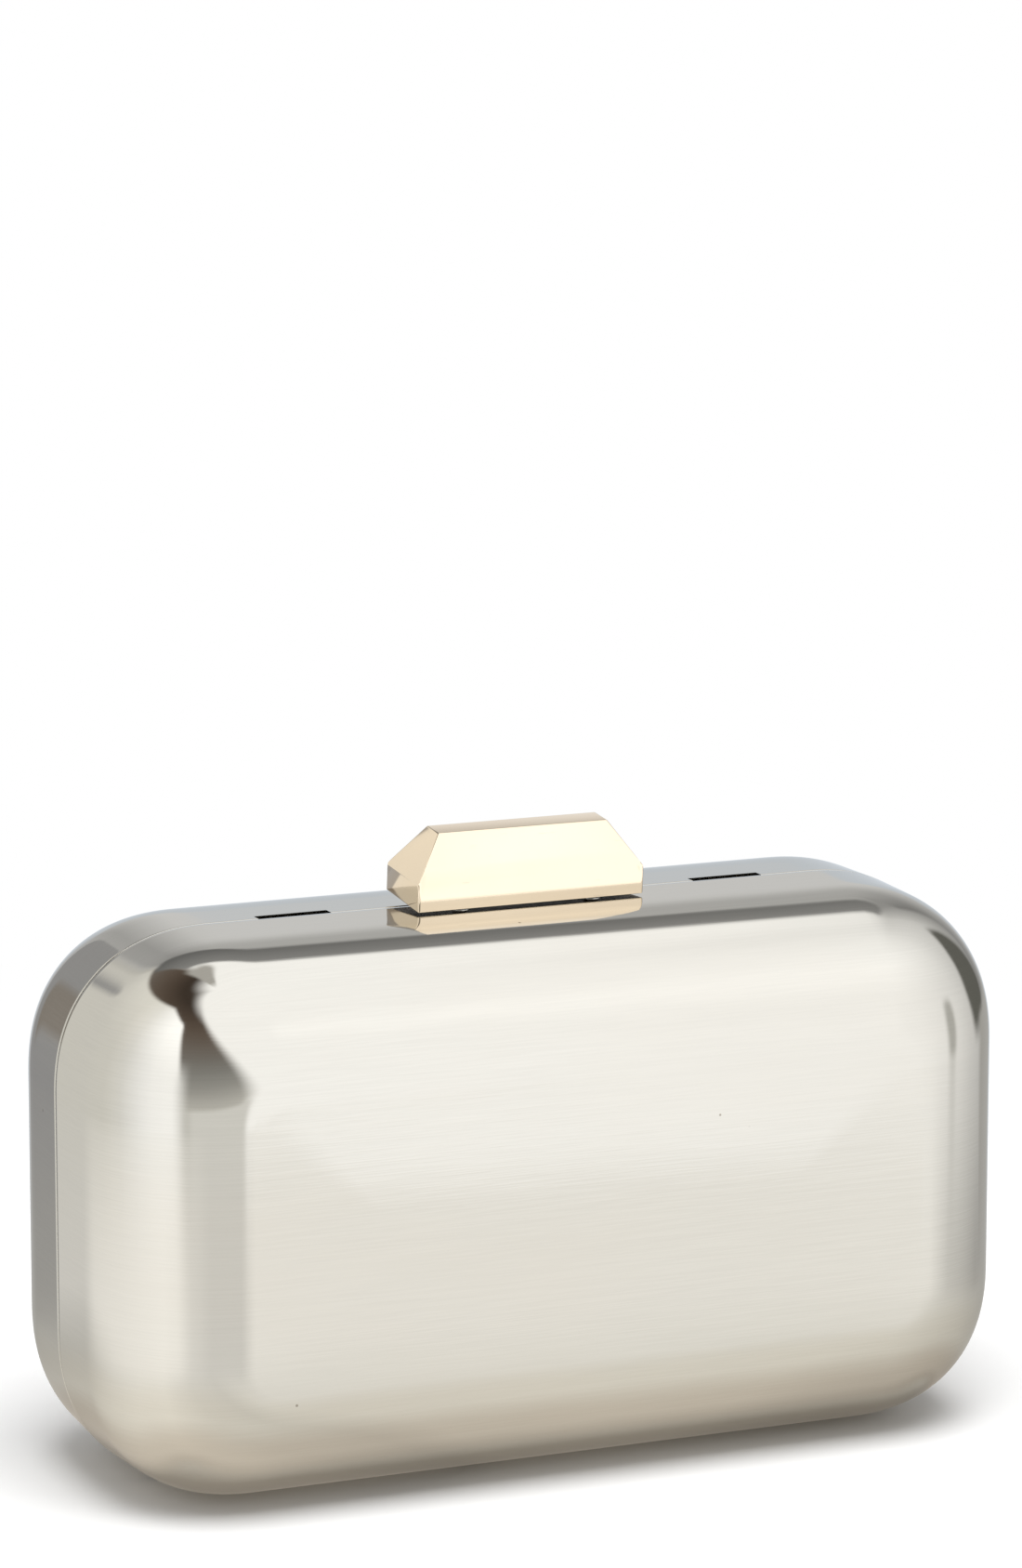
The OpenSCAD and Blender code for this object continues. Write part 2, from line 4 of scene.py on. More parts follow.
import bmesh
import bpy
import numpy as np
from bpy.props import FloatProperty, FloatVectorProperty, IntProperty, PointerProperty
from bpy.types import Operator, Panel, PropertyGroup
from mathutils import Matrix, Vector


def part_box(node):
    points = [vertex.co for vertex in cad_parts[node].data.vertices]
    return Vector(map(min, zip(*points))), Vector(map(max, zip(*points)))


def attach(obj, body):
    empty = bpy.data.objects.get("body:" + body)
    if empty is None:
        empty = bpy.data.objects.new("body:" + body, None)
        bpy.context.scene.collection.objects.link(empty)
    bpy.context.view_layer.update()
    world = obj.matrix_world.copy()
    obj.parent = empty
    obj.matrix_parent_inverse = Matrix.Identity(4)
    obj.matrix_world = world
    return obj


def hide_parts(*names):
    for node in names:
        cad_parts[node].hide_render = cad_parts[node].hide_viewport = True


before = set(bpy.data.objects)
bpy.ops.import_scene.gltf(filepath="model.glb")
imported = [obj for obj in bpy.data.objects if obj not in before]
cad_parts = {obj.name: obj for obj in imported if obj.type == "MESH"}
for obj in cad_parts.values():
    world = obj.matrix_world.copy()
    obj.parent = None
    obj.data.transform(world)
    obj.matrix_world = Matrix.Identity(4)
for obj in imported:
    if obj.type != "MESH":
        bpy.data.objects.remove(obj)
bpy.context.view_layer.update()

bl_info = {
    "name": "Metal box clutch",
    "version": (1, 0, 0),
    "blender": (4, 5, 0),
    "location": "View3D > Sidebar > Clutch",
    "description": "Dresses the packed model of a hard metal box clutch",
    "category": "Object",
}

MM = 0.001
SHELL_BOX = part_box("front_shell")
BODY_WIDTH = SHELL_BOX[1].x - SHELL_BOX[0].x
BODY_HEIGHT = SHELL_BOX[1].z - SHELL_BOX[0].z
HALF_DEPTH = -SHELL_BOX[0].y
HINGE_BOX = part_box("hinge_pin")
HINGE_Z = (HINGE_BOX[0].z + HINGE_BOX[1].z) / 2

# The photograph's picture in pixels, and its camera
PICTURE_WIDTH = 1100
PICTURE_HEIGHT = 1687
FOCAL_PIXELS = 6469.3
VIEW_AZIMUTH = -23.129
VIEW_ELEVATION = 10.788
VIEW_DISTANCE = 1.09558
VIEW_TARGET = Vector((-0.681, 0, 122.993)) * MM

CLASP_LEAN = radians(5.1)
# Half the width and half the length of the channel that the hinge barrel turns in
BARREL_CHANNEL = 1.96 * MM
HINGE_REACH = 61.3 * MM
FULL_LAMP_WATTS = 30.0
# How bright the room's brightest panel is
BRIGHTEST_PANEL = 1.5


def length(name, description, default, low=0, high=1000):
    """A size that a user can change, written here in millimetres and kept in metres."""
    return FloatProperty(name=name, description=description, default=default * MM, min=low * MM,
                         max=high * MM, subtype="DISTANCE", unit="LENGTH", precision=5)


def share(name, description, default, low=0.0, high=1.0):
    """A plain number that a user can change."""
    return FloatProperty(name=name, description=description, default=default, min=low, max=high)


def tint(name, description, default):
    """A colour that a user can change."""
    return FloatVectorProperty(name=name, description=description, default=default, min=0, max=1,
                               size=3, subtype="COLOR")


class ShellSizes(PropertyGroup):
    """Shape of the two stamped shells"""
    corner_radius: length("Corner radius", "Reach of the four corners, seen from the front", 29.66)
    corner_power: share("Corner power", "2 is a circle, more is squarer", 2.3, 2, 4)
    side_depth: length("Side depth", "Depth of the plain side wall behind the seam", 12.244)
    draft: share("Draft", "Lean of the side wall, for the press tool", 0.043, 0, 0.2)
    top_draft: share("Top draft", "Lean of the top wall, beside the clasp", 0.012, 0, 0.2)
    round_reach: length("Rounding reach", "How far the rounded edge runs in over the face", 23.5)
    face_shortfall: length("Face shortfall", "How far the face stays inside the packed box", 0.1)
    crown: length("Crown", "Rise of the face's middle", 0.08)
    wall: length("Wall", "Thickness of the metal", 0.8)
    seam: length("Seam", "Open line between the halves", 0.3)
    rim_round: length("Rim rounding", "Radius of the rim's outer edge", 0.08)
    slot_centre: length("Slot centre", "Distance of a chain slot from the middle", 43)
    slot_length: length("Slot length", "Length of a chain slot", 14)
    slot_width: length("Slot width", "Width of a chain slot", 2.5)
    dent: length("Dent", "Height of the metal's faint waves", 0.02)


class ClaspSizes(PropertyGroup):
    """Edges of the clasp bar and of the pressed fittings"""
    bar_edge: length("Bar edge", "Rounding of the bar's crisp edges", 0.28)
    bar_corner: length("Bar corner", "Rounding of the bar's upright corners", 0.55)
    bar_crease: length("Bar crease", "Rounding where the long slopes meet the band", 3.4)
    fitting_edge: length("Fitting edge", "Radius of the fittings' edges", 0.12)


class LiningSizes(PropertyGroup):
    """Shape of the satin linings"""
    wall: length("Cloth", "Thickness of the satin and its paste", 0.45)
    rumple: length("Rumple", "Height of the soft folds in the corners", 0.28)
    pleats: IntProperty(name="Pleats", description="Folds in each corner", default=7, min=0, max=20)


class RivetSizes(PropertyGroup):
    """Shape of the rivets and of the chain rings"""
    head_radius: length("Head radius", "Radius of a rivet's head", 1.6)
    shank_radius: length("Shank radius", "Radius of a rivet's shank", 0.9)
    head_height: length("Head height", "Height of a rivet's head", 0.5)
    ring_radius: length("Ring radius", "Radius of a chain ring, to the middle of its wire", 5)
    ring_wire: length("Ring wire", "Radius of the ring's wire", 0.8)


class Finishes(PropertyGroup):
    """Colours and polish"""
    shell: tint("Shell", "Brushed champagne metal", (0.65, 0.635, 0.59))
    shell_roughness: share("Shell roughness", "Blur of the brushed metal", 0.055)
    shell_stretch: share("Shell stretch", "How much further it blurs across the brushing", 0.55)
    gold: tint("Gold", "Pale gold of the bar and rings", (0.93, 0.79, 0.61))
    nickel: tint("Nickel", "Strip, hinge and lock", (0.60, 0.59, 0.565))
    steel: tint("Steel", "Stems, hook, keeper, spring and rivets", (0.48, 0.48, 0.47))
    satin: tint("Satin", "Lining cloth", (0.62, 0.55, 0.45))
    card: tint("Card", "Pressed card behind the lining", (0.40, 0.34, 0.27))


class StudioLook(PropertyGroup):
    """Floor, lamps and the room that the metal reflects"""
    floor_white: share("Floor white", "The floor as the camera sees it", 1.0, 0, 2)
    floor_tint: tint("Floor tint", "The floor as the metal sees it", (0.76, 0.74, 0.70))
    floor_end: length("Floor end", "How far from the clutch the metal sees the floor", 100, 20, 2000)
    fill: share("Fill", "Plain light from all round", 0.5, 0, 2)
    overhead: share("Overhead", "Share of the light that falls from the lamp above", 0.75, 0, 2)


# Small helpers

def smooth_step(value, low, high):
    """0 up to low, 1 from high on, and a smooth turn between them."""
    t = np.clip((np.asarray(value, float) - low) / (high - low), 0, 1)
    return t * t * (3 - 2 * t)


def new_object(name, mesh):
    """An object for a finished mesh, at the origin."""
    obj = bpy.data.objects.new(name, mesh)
    bpy.context.scene.collection.objects.link(obj)
    return obj


def mesh_from(name, points, faces):
    mesh = bpy.data.meshes.new(name)
    mesh.from_pydata([tuple(p) for p in points], [], faces)
    mesh.update()
    return mesh


def shade(mesh, angle=35):
    """Smooth faces with crisp edges where they turn by more than the angle."""
    mesh.polygons.foreach_set("use_smooth", [True] * len(mesh.polygons))
    mesh.set_sharp_from_angle(angle=radians(angle))


def finish_piece(obj, body, slot_name, kind, *nodes):
    """Gives a piece its finish, hides the packed nodes it stands for and hangs it on the body it rides on.
    The slot name is not used.
    """
    if kind:
        dress(obj, kind)
    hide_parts(*nodes)
    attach(obj, body)


# Node trees

class Value:
    """One result of a node. Sums of values become Math nodes, value[key] is another result of the same
    node, and a node's results can be unpacked."""

    def __init__(self, socket):
        self.socket, self.tree = socket, socket.id_data

    def __getitem__(self, key):
        return Value(self.socket.node.outputs[key])

    def calc(self, operation, *others):
        return put(self.tree, "Math", dict(enumerate((self, *others))), operation=operation)

    __add__ = __radd__ = partialmethod(calc, "ADD")
    __sub__ = partialmethod(calc, "SUBTRACT")
    __rsub__ = partialmethod(calc, "MULTIPLY_ADD", -1.0)
    __mul__ = __rmul__ = partialmethod(calc, "MULTIPLY")
    __pow__ = partialmethod(calc, "POWER")
    __abs__ = partialmethod(calc, "ABSOLUTE")


def put(tree, kind, inputs=None, out=0, **settings):
    """Adds a node and gives one of its results. Inputs are plain, or values to link. A shader node's kind
    goes without its prefix."""
    node = tree.nodes.new(kind if "Node" in kind else "ShaderNode" + kind)
    for key, value in settings.items():
        setattr(node, key, value)
    for key, value in (inputs or {}).items():
        if isinstance(value, Value):
            tree.links.new(value.socket, node.inputs[key])
        else:
            node.inputs[key].default_value = value
    return Value(node.outputs[out]) if len(node.outputs) else node


def ramp(value, low, high, out_low=0.0, out_high=1.0):
    """A smooth turn from one value to another."""
    return put(value.tree, "MapRange", {"Value": value, "From Min": low, "From Max": high,
                                        "To Min": out_low, "To Max": out_high},
               interpolation_type="SMOOTHSTEP")


# Each of these gives the result of one node

def mix(factor, first, second):
    return put(factor.tree, "Mix", {0: factor, 2: first, 3: second}, data_type="FLOAT")


def blend(factor, first, second):
    return put(factor.tree, "Mix", {0: factor, 6: first, 7: second}, 2, data_type="RGBA")


def tinted(colour, other):
    return put(colour.tree, "VectorMath", {0: colour, 1: other}, operation="MULTIPLY")


def dim(colour, level):
    return put(colour.tree, "VectorMath", {0: colour, "Scale": level}, operation="SCALE")


def rgba(colour, level=1.0):
    return (*[c * level for c in colour], 1.0)


def grey(level):
    return rgba((level,) * 3)


def object_place(tree):
    return put(tree, "TexCoord", out="Object")


def attribute(tree, name):
    return put(tree, "Attribute", out="Fac", attribute_name=name)


def object_noise(tree, scale, detail, seed):
    """Noise on Object coordinates, with a scale of its own along each axis, in turns a metre."""
    moved = put(tree, "Mapping", {"Vector": object_place(tree), "Scale": scale,
                                  "Location": (seed, seed * 1.7, seed * 2.3)})
    return put(tree, "TexNoise", {"Vector": moved, "Scale": 1.0, "Detail": detail}, "Fac")


# Finishes

MATERIALS = {}


def new_material(name):
    material = bpy.data.materials.new(name)
    material.use_nodes = True
    material.node_tree.nodes.clear()
    return material, material.node_tree


def finish_shader(colour, rough, height, strength, bump_height, inputs):
    """Ends a material with its surface and the bumps that a height makes, in metres."""
    tree = colour.tree
    bump = put(tree, "Bump", {"Height": height, "Strength": strength, "Distance": bump_height})
    shader = put(tree, "BsdfPrincipled",
                 {"Base Color": colour, "Roughness": rough, "Normal": bump, **inputs})
    put(tree, "OutputMaterial", {"Surface": shader})


def brushed_shell_metal(tree, finish):
    """Champagne metal brushed along X: fine lines lie level on the walls and along X on top."""
    stroke, fine_gap, broad_gap = 14 * MM, 0.28 * MM, 1.9 * MM
    lies_flat = attribute(tree, "lies_flat")

    def lines(gap, seed, detail):
        upright = object_noise(tree, (1 / stroke, 1 / stroke, 1 / gap), detail, seed)
        level = object_noise(tree, (1 / stroke, 1 / gap, 1 / stroke), detail, seed)
        return mix(lies_flat, upright, level)

    fine = lines(fine_gap, 3.1, 3)
    broad = lines(broad_gap, 7.7, 2)
    cloud = object_noise(tree, (18, 18, 40), 3, 1.3)
    specks = put(tree, "TexVoronoi", {"Vector": object_place(tree), "Scale": 62.0}, feature="F1")
    pit = ramp(specks, 0.012, 0.022, 1.0, 0.0)
    colour = blend(broad, rgba(finish.shell, 0.985), rgba(finish.shell, 1.015))
    colour = dim(colour, ramp(fine, 0.3, 0.7, 0.985, 1.015))
    colour = blend(ramp(cloud, 0.35, 0.75, 0.0, 0.35), colour, rgba((0.66, 0.63, 0.575)))
    colour = blend(pit, colour, rgba((0.36, 0.33, 0.29)))
    # The streaks and clouds add 0.035 on average
    rough = fine * 0.05 + cloud * 0.02 + (finish.shell_roughness - 0.035)
    height = fine + broad * 0.45 - pit * 3.0
    along = put(tree, "Tangent", direction_type="UV_MAP", uv_map="brushing")
    finish_shader(colour, rough, height, 0.17, 0.000012, {
        "Metallic": 1.0, "Specular Tint": grey(0.85), "Tangent": along,
        "Anisotropic": finish.shell_stretch})


def polished_metal(tree, colour, roughness, gap, haze, bump_height=0.000004, shade_attribute=None):
    """Bright metal with faint buffing lines, soft clouds and a few hairline scratches. Where the attribute
    named by the last argument is 1 it is painted dark brown and rough: painted shade, as in a narrow gap."""
    buffed = object_noise(tree, (90, 1 / gap, 1 / gap), 3, 2.2)
    cloud = object_noise(tree, (70, 70, 70), 4, 5.5)
    hairline = ramp(object_noise(tree, (160, 2600, 900), 2, 9.4), 0.69, 0.74)
    tone = blend(cloud, rgba(colour, 0.95), rgba(colour, 1.03))
    tone = blend(hairline * 0.25, tone, rgba(colour, 0.7))
    rough = cloud * haze + hairline * 0.1 + roughness
    # Painted shade: the marked faces turn dark brown and rough
    if shade_attribute:
        painted_shade = attribute(tree, shade_attribute)
        tone = blend(painted_shade, tone, blend(cloud, rgba((0.07, 0.035, 0.012)), rgba((0.12, 0.07, 0.03))))
        rough = mix(painted_shade, rough, 0.45)
    finish_shader(tone, rough, buffed - hairline * 0.8, 0.3, bump_height, {"Metallic": 1.0})


def satin_cloth(tree, finish):
    """Satin with a tight weave, long floats that catch the light, and soft clouds of sheen."""

    def threads(scale, bend, axis):
        return put(tree, "TexWave", {"Vector": object_place(tree), "Scale": scale, "Distortion": bend,
                                     "Detail": 1.0}, "Fac", bands_direction=axis)

    weft, warp = threads(900, 0.6, "Z"), threads(620, 0.4, "X")
    slub = object_noise(tree, (60, 300, 1500), 3, 4.4)
    cloud = object_noise(tree, (45, 45, 45), 3, 8.1)
    weave = weft * 0.6 + warp * 0.3 + slub * 0.5
    colour = blend(weave * 0.6, rgba(finish.satin, 0.82), rgba(finish.satin, 1.12))
    colour = blend(ramp(cloud, 0.3, 0.75, 0.0, 0.3), colour, rgba((0.70, 0.62, 0.50)))
    finish_shader(colour, mix(cloud, 0.36, 0.52), weave, 0.5, 0.00006, {
        "Specular IOR Level": 0.6, "Sheen Weight": 0.45, "Sheen Roughness": 0.35})


def pressed_card(tree, finish):
    """Grey-brown card with short fibres and a slightly mottled face."""
    fibres = object_noise(tree, (900, 2600, 1400), 4, 6.3)
    mottle = object_noise(tree, (130, 130, 130), 4, 2.9)
    colour = blend(mottle, rgba(finish.card, 0.8), rgba(finish.card, 1.2))
    colour = blend(ramp(fibres, 0.55, 0.8, 0.0, 0.4), colour, rgba((0.58, 0.52, 0.44)))
    finish_shader(colour, mix(fibres, 0.78, 0.92), fibres, 0.5, 0.00005, {})


def material_for(kind):
    """Each finish is made once, from the user's colours."""
    if kind not in MATERIALS:
        finish = bpy.context.scene.clutch_finishes
        gold = (polished_metal, finish.gold, 0.045, 0.6 * MM, 0.05, 0.000002)
        name, recipe, *settings = {
            "shell": ("brushed_champagne", brushed_shell_metal, finish),
            "gold": ("pale_gold", *gold),
            # The bar's foot gets painted shade, dark brown, from its attribute
            "bar": ("pale_gold_bar", *gold, "foot"),
            "nickel": ("nickel_strip", polished_metal, finish.nickel, 0.17, 0.25 * MM, 0.12),
            "steel": ("zinc_steel", polished_metal, finish.steel, 0.26, 0.2 * MM, 0.16),
            "satin": ("champagne_satin", satin_cloth, finish),
            "card": ("pressed_card", pressed_card, finish),
        }[kind]
        MATERIALS[kind], tree = new_material(name)
        recipe(tree, *settings)
    return MATERIALS[kind]


def dress(obj, kind):
    """Gives an object one finish in place of what it had."""
    obj.data.materials.clear()
    obj.data.materials.append(material_for(kind))


# Skins wrapped round the clutch's outline

def outline(width, height, radius, power, marks, corner_steps=40, top_steps=48, side_steps=16):
    """Points round the rim, seen from the front and clockwise from the lower left, and the hub that each
    turns about. Marks are distances from the middle at which the long sides must have a point."""
    turn = np.linspace(0, pi / 2, corner_steps + 1)
    c, s = np.cos(turn) ** (2 / power), np.sin(turn) ** (2 / power)
    half, low, high = width / 2 - radius, radius, height - radius
    even = np.linspace(-half, half, top_steps + 1)
    named = np.array(sorted({m * side for m in marks for side in (-1, 1)}))
    even = np.array([x for x in even if np.abs(named - x).min() > 0.0008 or abs(abs(x) - half) < 1e-9])
    long_x = np.array(sorted({round(x, 7) for x in (*even, *named)}))
    rise = np.linspace(low, high, side_steps + 1)
    parts = [
        (-width / 2, rise, -half, rise),
        (-half - radius * c, high + radius * s, -half, high),
        (long_x, height, long_x, high),
        (half + radius * s, high + radius * c, half, high),
        (width / 2, rise[::-1], half, rise[::-1]),
        (half + radius * c, low - radius * s, half, low),
        (long_x[::-1], 0, long_x[::-1], low),
        (-half - radius * s, low - radius * c, -half, low),
    ]
    columns = np.concatenate([np.stack(np.broadcast_arrays(*part), 1)[:-1] for part in parts])
    return columns[:, :2], columns[:, 2:]


def wrap(name, side, rim, hub, radius, skins, gone, adjust=None):
    """A double skin wrapped round the outline. skins holds an outer and an inner list of stations
    (depth, inset, slide), where slide runs from 0 at the face's edge to 1 on its middle line. gone tells
    which cells are cut out, and adjust moves the points of a skin."""
    centre = np.stack([hub[:, 0] * 0.62, np.full(len(hub), hub[:, 1].mean())], 1)
    grids = []
    for which, stations in enumerate(skins):
        rows = []
        for depth, inset, slide in stations:
            flat = rim + (hub - rim) * min(inset / radius, 1)
            flat = flat + (centre - flat) * slide
            rows.append(np.stack([flat[:, 0], np.full(len(flat), side * depth), flat[:, 1]], 1))
        grid = np.array(rows)
        grids.append(adjust(grid, which, stations) if adjust else grid)
    rows, columns = grids[0].shape[:2]
    points = np.concatenate([g.reshape(-1, 3) for g in grids])
    inner = rows * columns
    kept = np.array([[not gone(grids[0][k, c], grids[0][k + 1, c], grids[0][k, (c + 1) % columns])
                      for c in range(columns)] for k in range(rows - 1)])
    faces = []

    def quad(a, b, c, d):
        faces.append((a, b, c, d) if side > 0 else (d, c, b, a))

    for k in range(rows - 1):
        for c in range(columns):
            if not kept[k, c]:
                continue
            n = (c + 1) % columns
            a, b, u, v = k * columns + c, k * columns + n, (k + 1) * columns + n, (k + 1) * columns + c
            quad(a, b, u, v)
            quad(inner + v, inner + u, inner + b, inner + a)
            open_edges = ((k == 0 or not kept[k - 1, c], b, a),
                          (k < rows - 2 and not kept[k + 1, c], v, u),
                          (not kept[k, (c - 1) % columns], a, v), (not kept[k, n], u, b))
            for is_open, p, q in open_edges:
                if is_open:
                    quad(p, q, inner + q, inner + p)
    mesh = mesh_from(name, points, faces)
    work = bmesh.new()
    work.from_mesh(mesh)
    bmesh.ops.remove_doubles(work, verts=work.verts, dist=2e-7)
    bmesh.ops.delete(work, geom=[v for v in work.verts if not v.link_faces], context="VERTS")
    work.to_mesh(mesh)
    work.free()
    return mesh


def with_slides(walls, steps):
    """Stations of a skin: its (depth, inset) pairs, and then the steps in to the face's middle line."""
    return [(*pair, 0.0) for pair in walls] + [(*walls[-1], s) for s in np.linspace(0, 1, steps)[1:]]


def shell_stations(sizes, half_depth, offset):
    """Stations of the shell's skin from the rim to the middle of the face, drawn in by the wall or not."""
    wall = sizes.wall * offset
    edge, flat, draft = sizes.rim_round, sizes.side_depth, sizes.draft
    deep = half_depth - flat
    walls = []
    for turn in np.linspace(0, pi / 2, 4):
        walls.append((sizes.seam / 2 + edge * (1 - cos(turn)),
                      wall + edge * (1 - sin(turn)) * (1 - offset)))
    for depth in (0.9 * MM, 1.7 * MM, sizes.slot_width, 4.5 * MM, 7 * MM, 10.2 * MM, flat):
        held = smooth_step(depth, 10 * MM, flat) if offset else 1
        walls.append((depth, wall + depth * draft * held))
    start = atan(draft * deep / sizes.round_reach)
    first = flat * draft + wall + draft * deep * sin(start)
    for turn in np.linspace(start, pi / 2, 38):
        walls.append((flat + (deep - wall) * sin(turn),
                      first + (sizes.round_reach - wall) * (cos(start) - cos(turn))))
    return with_slides(walls, 15)


def waves(x, z):
    """Faint unevenness of pressed sheet, between -1 and 1."""
    x, z = x / MM, z / MM
    return (0.5 * np.sin(x / 21.0 + 0.7 + 0.5 * np.sin(z / 17.0)) * np.cos(z / 26.0 + 0.4)
            + 0.3 * np.sin(x / 11.3 - z / 15.1 + 2.0) + 0.2 * np.cos(x / 34.0 + z / 9.7))


def make_shell(side):
    """One stamped shell: +1 behind the seam, -1 in front of it."""
    sizes = bpy.context.scene.clutch_shell
    half = "rear" if side > 0 else "front"
    node = half + "_shell"
    name = node + "_skin"
    half_depth = HALF_DEPTH - sizes.face_shortfall
    slot_low = sizes.slot_centre - sizes.slot_length / 2
    slot_high = sizes.slot_centre + sizes.slot_length / 2
    rim, hub = outline(BODY_WIDTH, BODY_HEIGHT, sizes.corner_radius, sizes.corner_power,
                       (slot_low, slot_high))
    skins = [shell_stations(sizes, half_depth, offset) for offset in (0, 1)]
    # The hinge barrel turns in a channel that closes where the rim has risen past the hinge axis
    opening = smooth_step(1 - rim[:, 1] / HINGE_Z, 0, 1) ** 0.7 * (BARREL_CHANNEL - sizes.seam / 2)

    def adjust(grid, which, stations):
        x, y, z = np.moveaxis(grid, 2, 0)
        depths, insets, slides = np.array(stations).T[:, :, None]
        fade = np.clip(1 - (depths - sizes.seam / 2) / (8 * MM), 0, 1) ** 1.2
        y += side * fade * opening
        # The top leans less than the sides do
        lift = (sizes.draft - sizes.top_draft) * np.minimum(depths, sizes.side_depth)
        lift *= 1 - smooth_step(insets, sizes.side_depth * sizes.draft, sizes.round_reach)
        z += lift * np.clip((rim[:, 1] - hub[:, 1]) / sizes.corner_radius, 0, 1) ** 2
        face = smooth_step(insets, 14 * MM, 24 * MM)
        y += side * (face * sizes.dent * waves(x, z * side) + sizes.crown * smooth_step(slides, 0, 0.9))
        return grid

    def gone(near, far, beside):
        if side < 0 or min(near[2], beside[2]) < BODY_HEIGHT * 0.9:
            return False
        x = abs(near[0] + beside[0]) / 2
        return slot_low < x < slot_high and far[1] < sizes.slot_width + 0.05 * MM

    mesh = wrap(name, side, rim, hub, sizes.corner_radius, skins, gone, adjust)
    points = np.array([v.co for v in mesh.vertices])
    depth = np.abs(points[:, 1])
    # Brushing runs along the first direction of this map and across the second
    along = points[:, 0] * (1 - depth / BODY_WIDTH * 2)
    across = points[:, 2] - 0.06 * depth
    layer = mesh.uv_layers.new(name="brushing")
    corners = np.array([loop.vertex_index for loop in mesh.loops])
    layer.uv.foreach_set("vector", (np.stack([along, across], 1)[corners] * 5 + 0.5).ravel())
    shade(mesh)
    lean = np.array([abs(v.normal.z) for v in mesh.vertices])
    flat = mesh.attributes.new("lies_flat", "FLOAT", "POINT")
    flat.data.foreach_set("value", smooth_step(lean, 0.55, 0.85).astype(np.float32))
    finish_piece(new_object(name, mesh), half + "_half", "shell_metal", "shell", node)


# Fittings taken over from the packed solids

def merged_copy(node):
    """A clean mesh of a packed solid: its loose triangles joined and its flat faces made whole."""
    work = bmesh.new()
    work.from_mesh(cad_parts[node].data)
    bmesh.ops.remove_doubles(work, verts=work.verts, dist=2e-6)
    bmesh.ops.dissolve_limit(work, angle_limit=radians(0.6), verts=work.verts, edges=work.edges,
                             delimit={"NORMAL"})
    return work


def as_mesh(name, work):
    mesh = bpy.data.meshes.new(name)
    work.to_mesh(mesh)
    work.free()
    return mesh


def applied(name, obj):
    """The mesh that an object's modifiers make. The object itself goes."""
    bpy.context.view_layer.update()
    mesh = bpy.data.meshes.new_from_object(obj.evaluated_get(bpy.context.evaluated_depsgraph_get()))
    mesh.name = name
    obj.modifiers.clear()
    bpy.data.objects.remove(obj)
    return mesh


def softened(name, mesh):
    mesh.materials.clear()
    shade(mesh, 24)
    return new_object(name, mesh)


def turns(edge, angle):
    """Whether the faces on both sides of an edge meet at more than an angle in degrees."""
    return len(edge.link_faces) == 2 and edge.calc_face_angle(0) > radians(angle)


def soften(name, node, radius):
    """A copy of a packed solid with its crisp edges rounded."""
    work = merged_copy(node)
    bmesh.ops.bevel(work, geom=[e for e in work.edges if turns(e, 28)], offset=radius, offset_type="OFFSET",
                    segments=2, profile=0.5, affect="EDGES", clamp_overlap=True)
    return softened(name, as_mesh(name, work))


def soften_each(name, node, rounding, steps):
    """A copy of a packed solid whose edges are rounded by as much as rounding(edge) says."""
    work = merged_copy(node)
    sizes = [rounding(edge) if turns(edge, 15) else 0.0 for edge in work.edges]
    largest = max(sizes)
    layer = work.edges.layers.float.new("bevel_weight_edge")
    for edge, size in zip(work.edges, sizes):
        edge[layer] = size / largest
    obj = new_object(name + "_base", as_mesh(name, work))
    bevel = obj.modifiers.new("round", "BEVEL")
    bevel.limit_method, bevel.width, bevel.segments = "WEIGHT", largest, steps
    bevel.offset_type, bevel.use_clamp_overlap = "OFFSET", True
    return softened(name, applied(name, obj))


def islands(node):
    """Boxes of a node's separate solids, from left to right."""
    work = merged_copy(node)
    left, boxes = set(work.verts), []
    while left:
        stack, found = [left.pop()], []
        while stack:
            v = stack.pop()
            found.append(v.co.copy())
            near = {e.other_vert(v) for e in v.link_edges} & left
            left -= near
            stack.extend(near)
        points = np.array(found)
        boxes.append((points.min(0), points.max(0)))
    work.free()
    return sorted(boxes, key=lambda b: tuple(b[0].round(5)))


# Geometry Nodes

def new_tree(name, labels):
    """A Geometry Nodes tree with an input for each label, and the results of its input node."""
    tree = bpy.data.node_groups.new(name, "GeometryNodeTree")
    kinds = {"Geometry": "Geometry", "Seed": "Int", "Metal": "Material"}
    for label in ("Geometry", *labels, "Metal"):
        tree.interface.new_socket(label, in_out="INPUT",
                                  socket_type="NodeSocket" + kinds.get(label, "Float"))
    tree.interface.new_socket("Geometry", in_out="OUTPUT", socket_type="NodeSocketGeometry")
    return tree, put(tree, "NodeGroupInput")


def join(tree, *parts):
    joined = put(tree, "GeometryNodeJoinGeometry")
    for part in parts:
        tree.links.new(part.socket, joined.socket.node.inputs[0])
    return joined


def moved(shape, **how):
    return put(shape.tree, "GeometryNodeTransform", {"Geometry": shape, **how})


def stand_on_points(tree, source, shape, turn=None):
    """Ends a tree: a smooth copy of the shape stands on every point, in its metal."""
    stand = {"Points": source, "Instance": shape}
    if turn:
        stand["Rotation"] = turn
    shape = put(tree, "GeometryNodeInstanceOnPoints", stand)
    for kind in ("GeometryNodeRealizeInstances", "GeometryNodeSetShadeSmooth"):
        shape = put(tree, kind, {0: shape})
    dressed = put(tree, "GeometryNodeSetMaterial", {"Geometry": shape, "Material": source["Metal"]})
    put(tree, "NodeGroupOutput", {0: dressed})
    return tree


def run_tree(name, points, tree, values):
    """The plain mesh that the tree makes of some points. Inputs are set by their identifiers."""
    obj = new_object(name + "_base", mesh_from(name + "_base", points, []))
    modifier = obj.modifiers.new("build", "NODES")
    modifier.node_group = tree
    for item in tree.interface.items_tree:
        if item.item_type == "SOCKET" and item.in_out == "INPUT" and item.name in values:
            modifier[item.identifier] = values[item.name]
    piece = new_object(name, applied(name, obj))
    shade(piece.data, 40)
    return piece


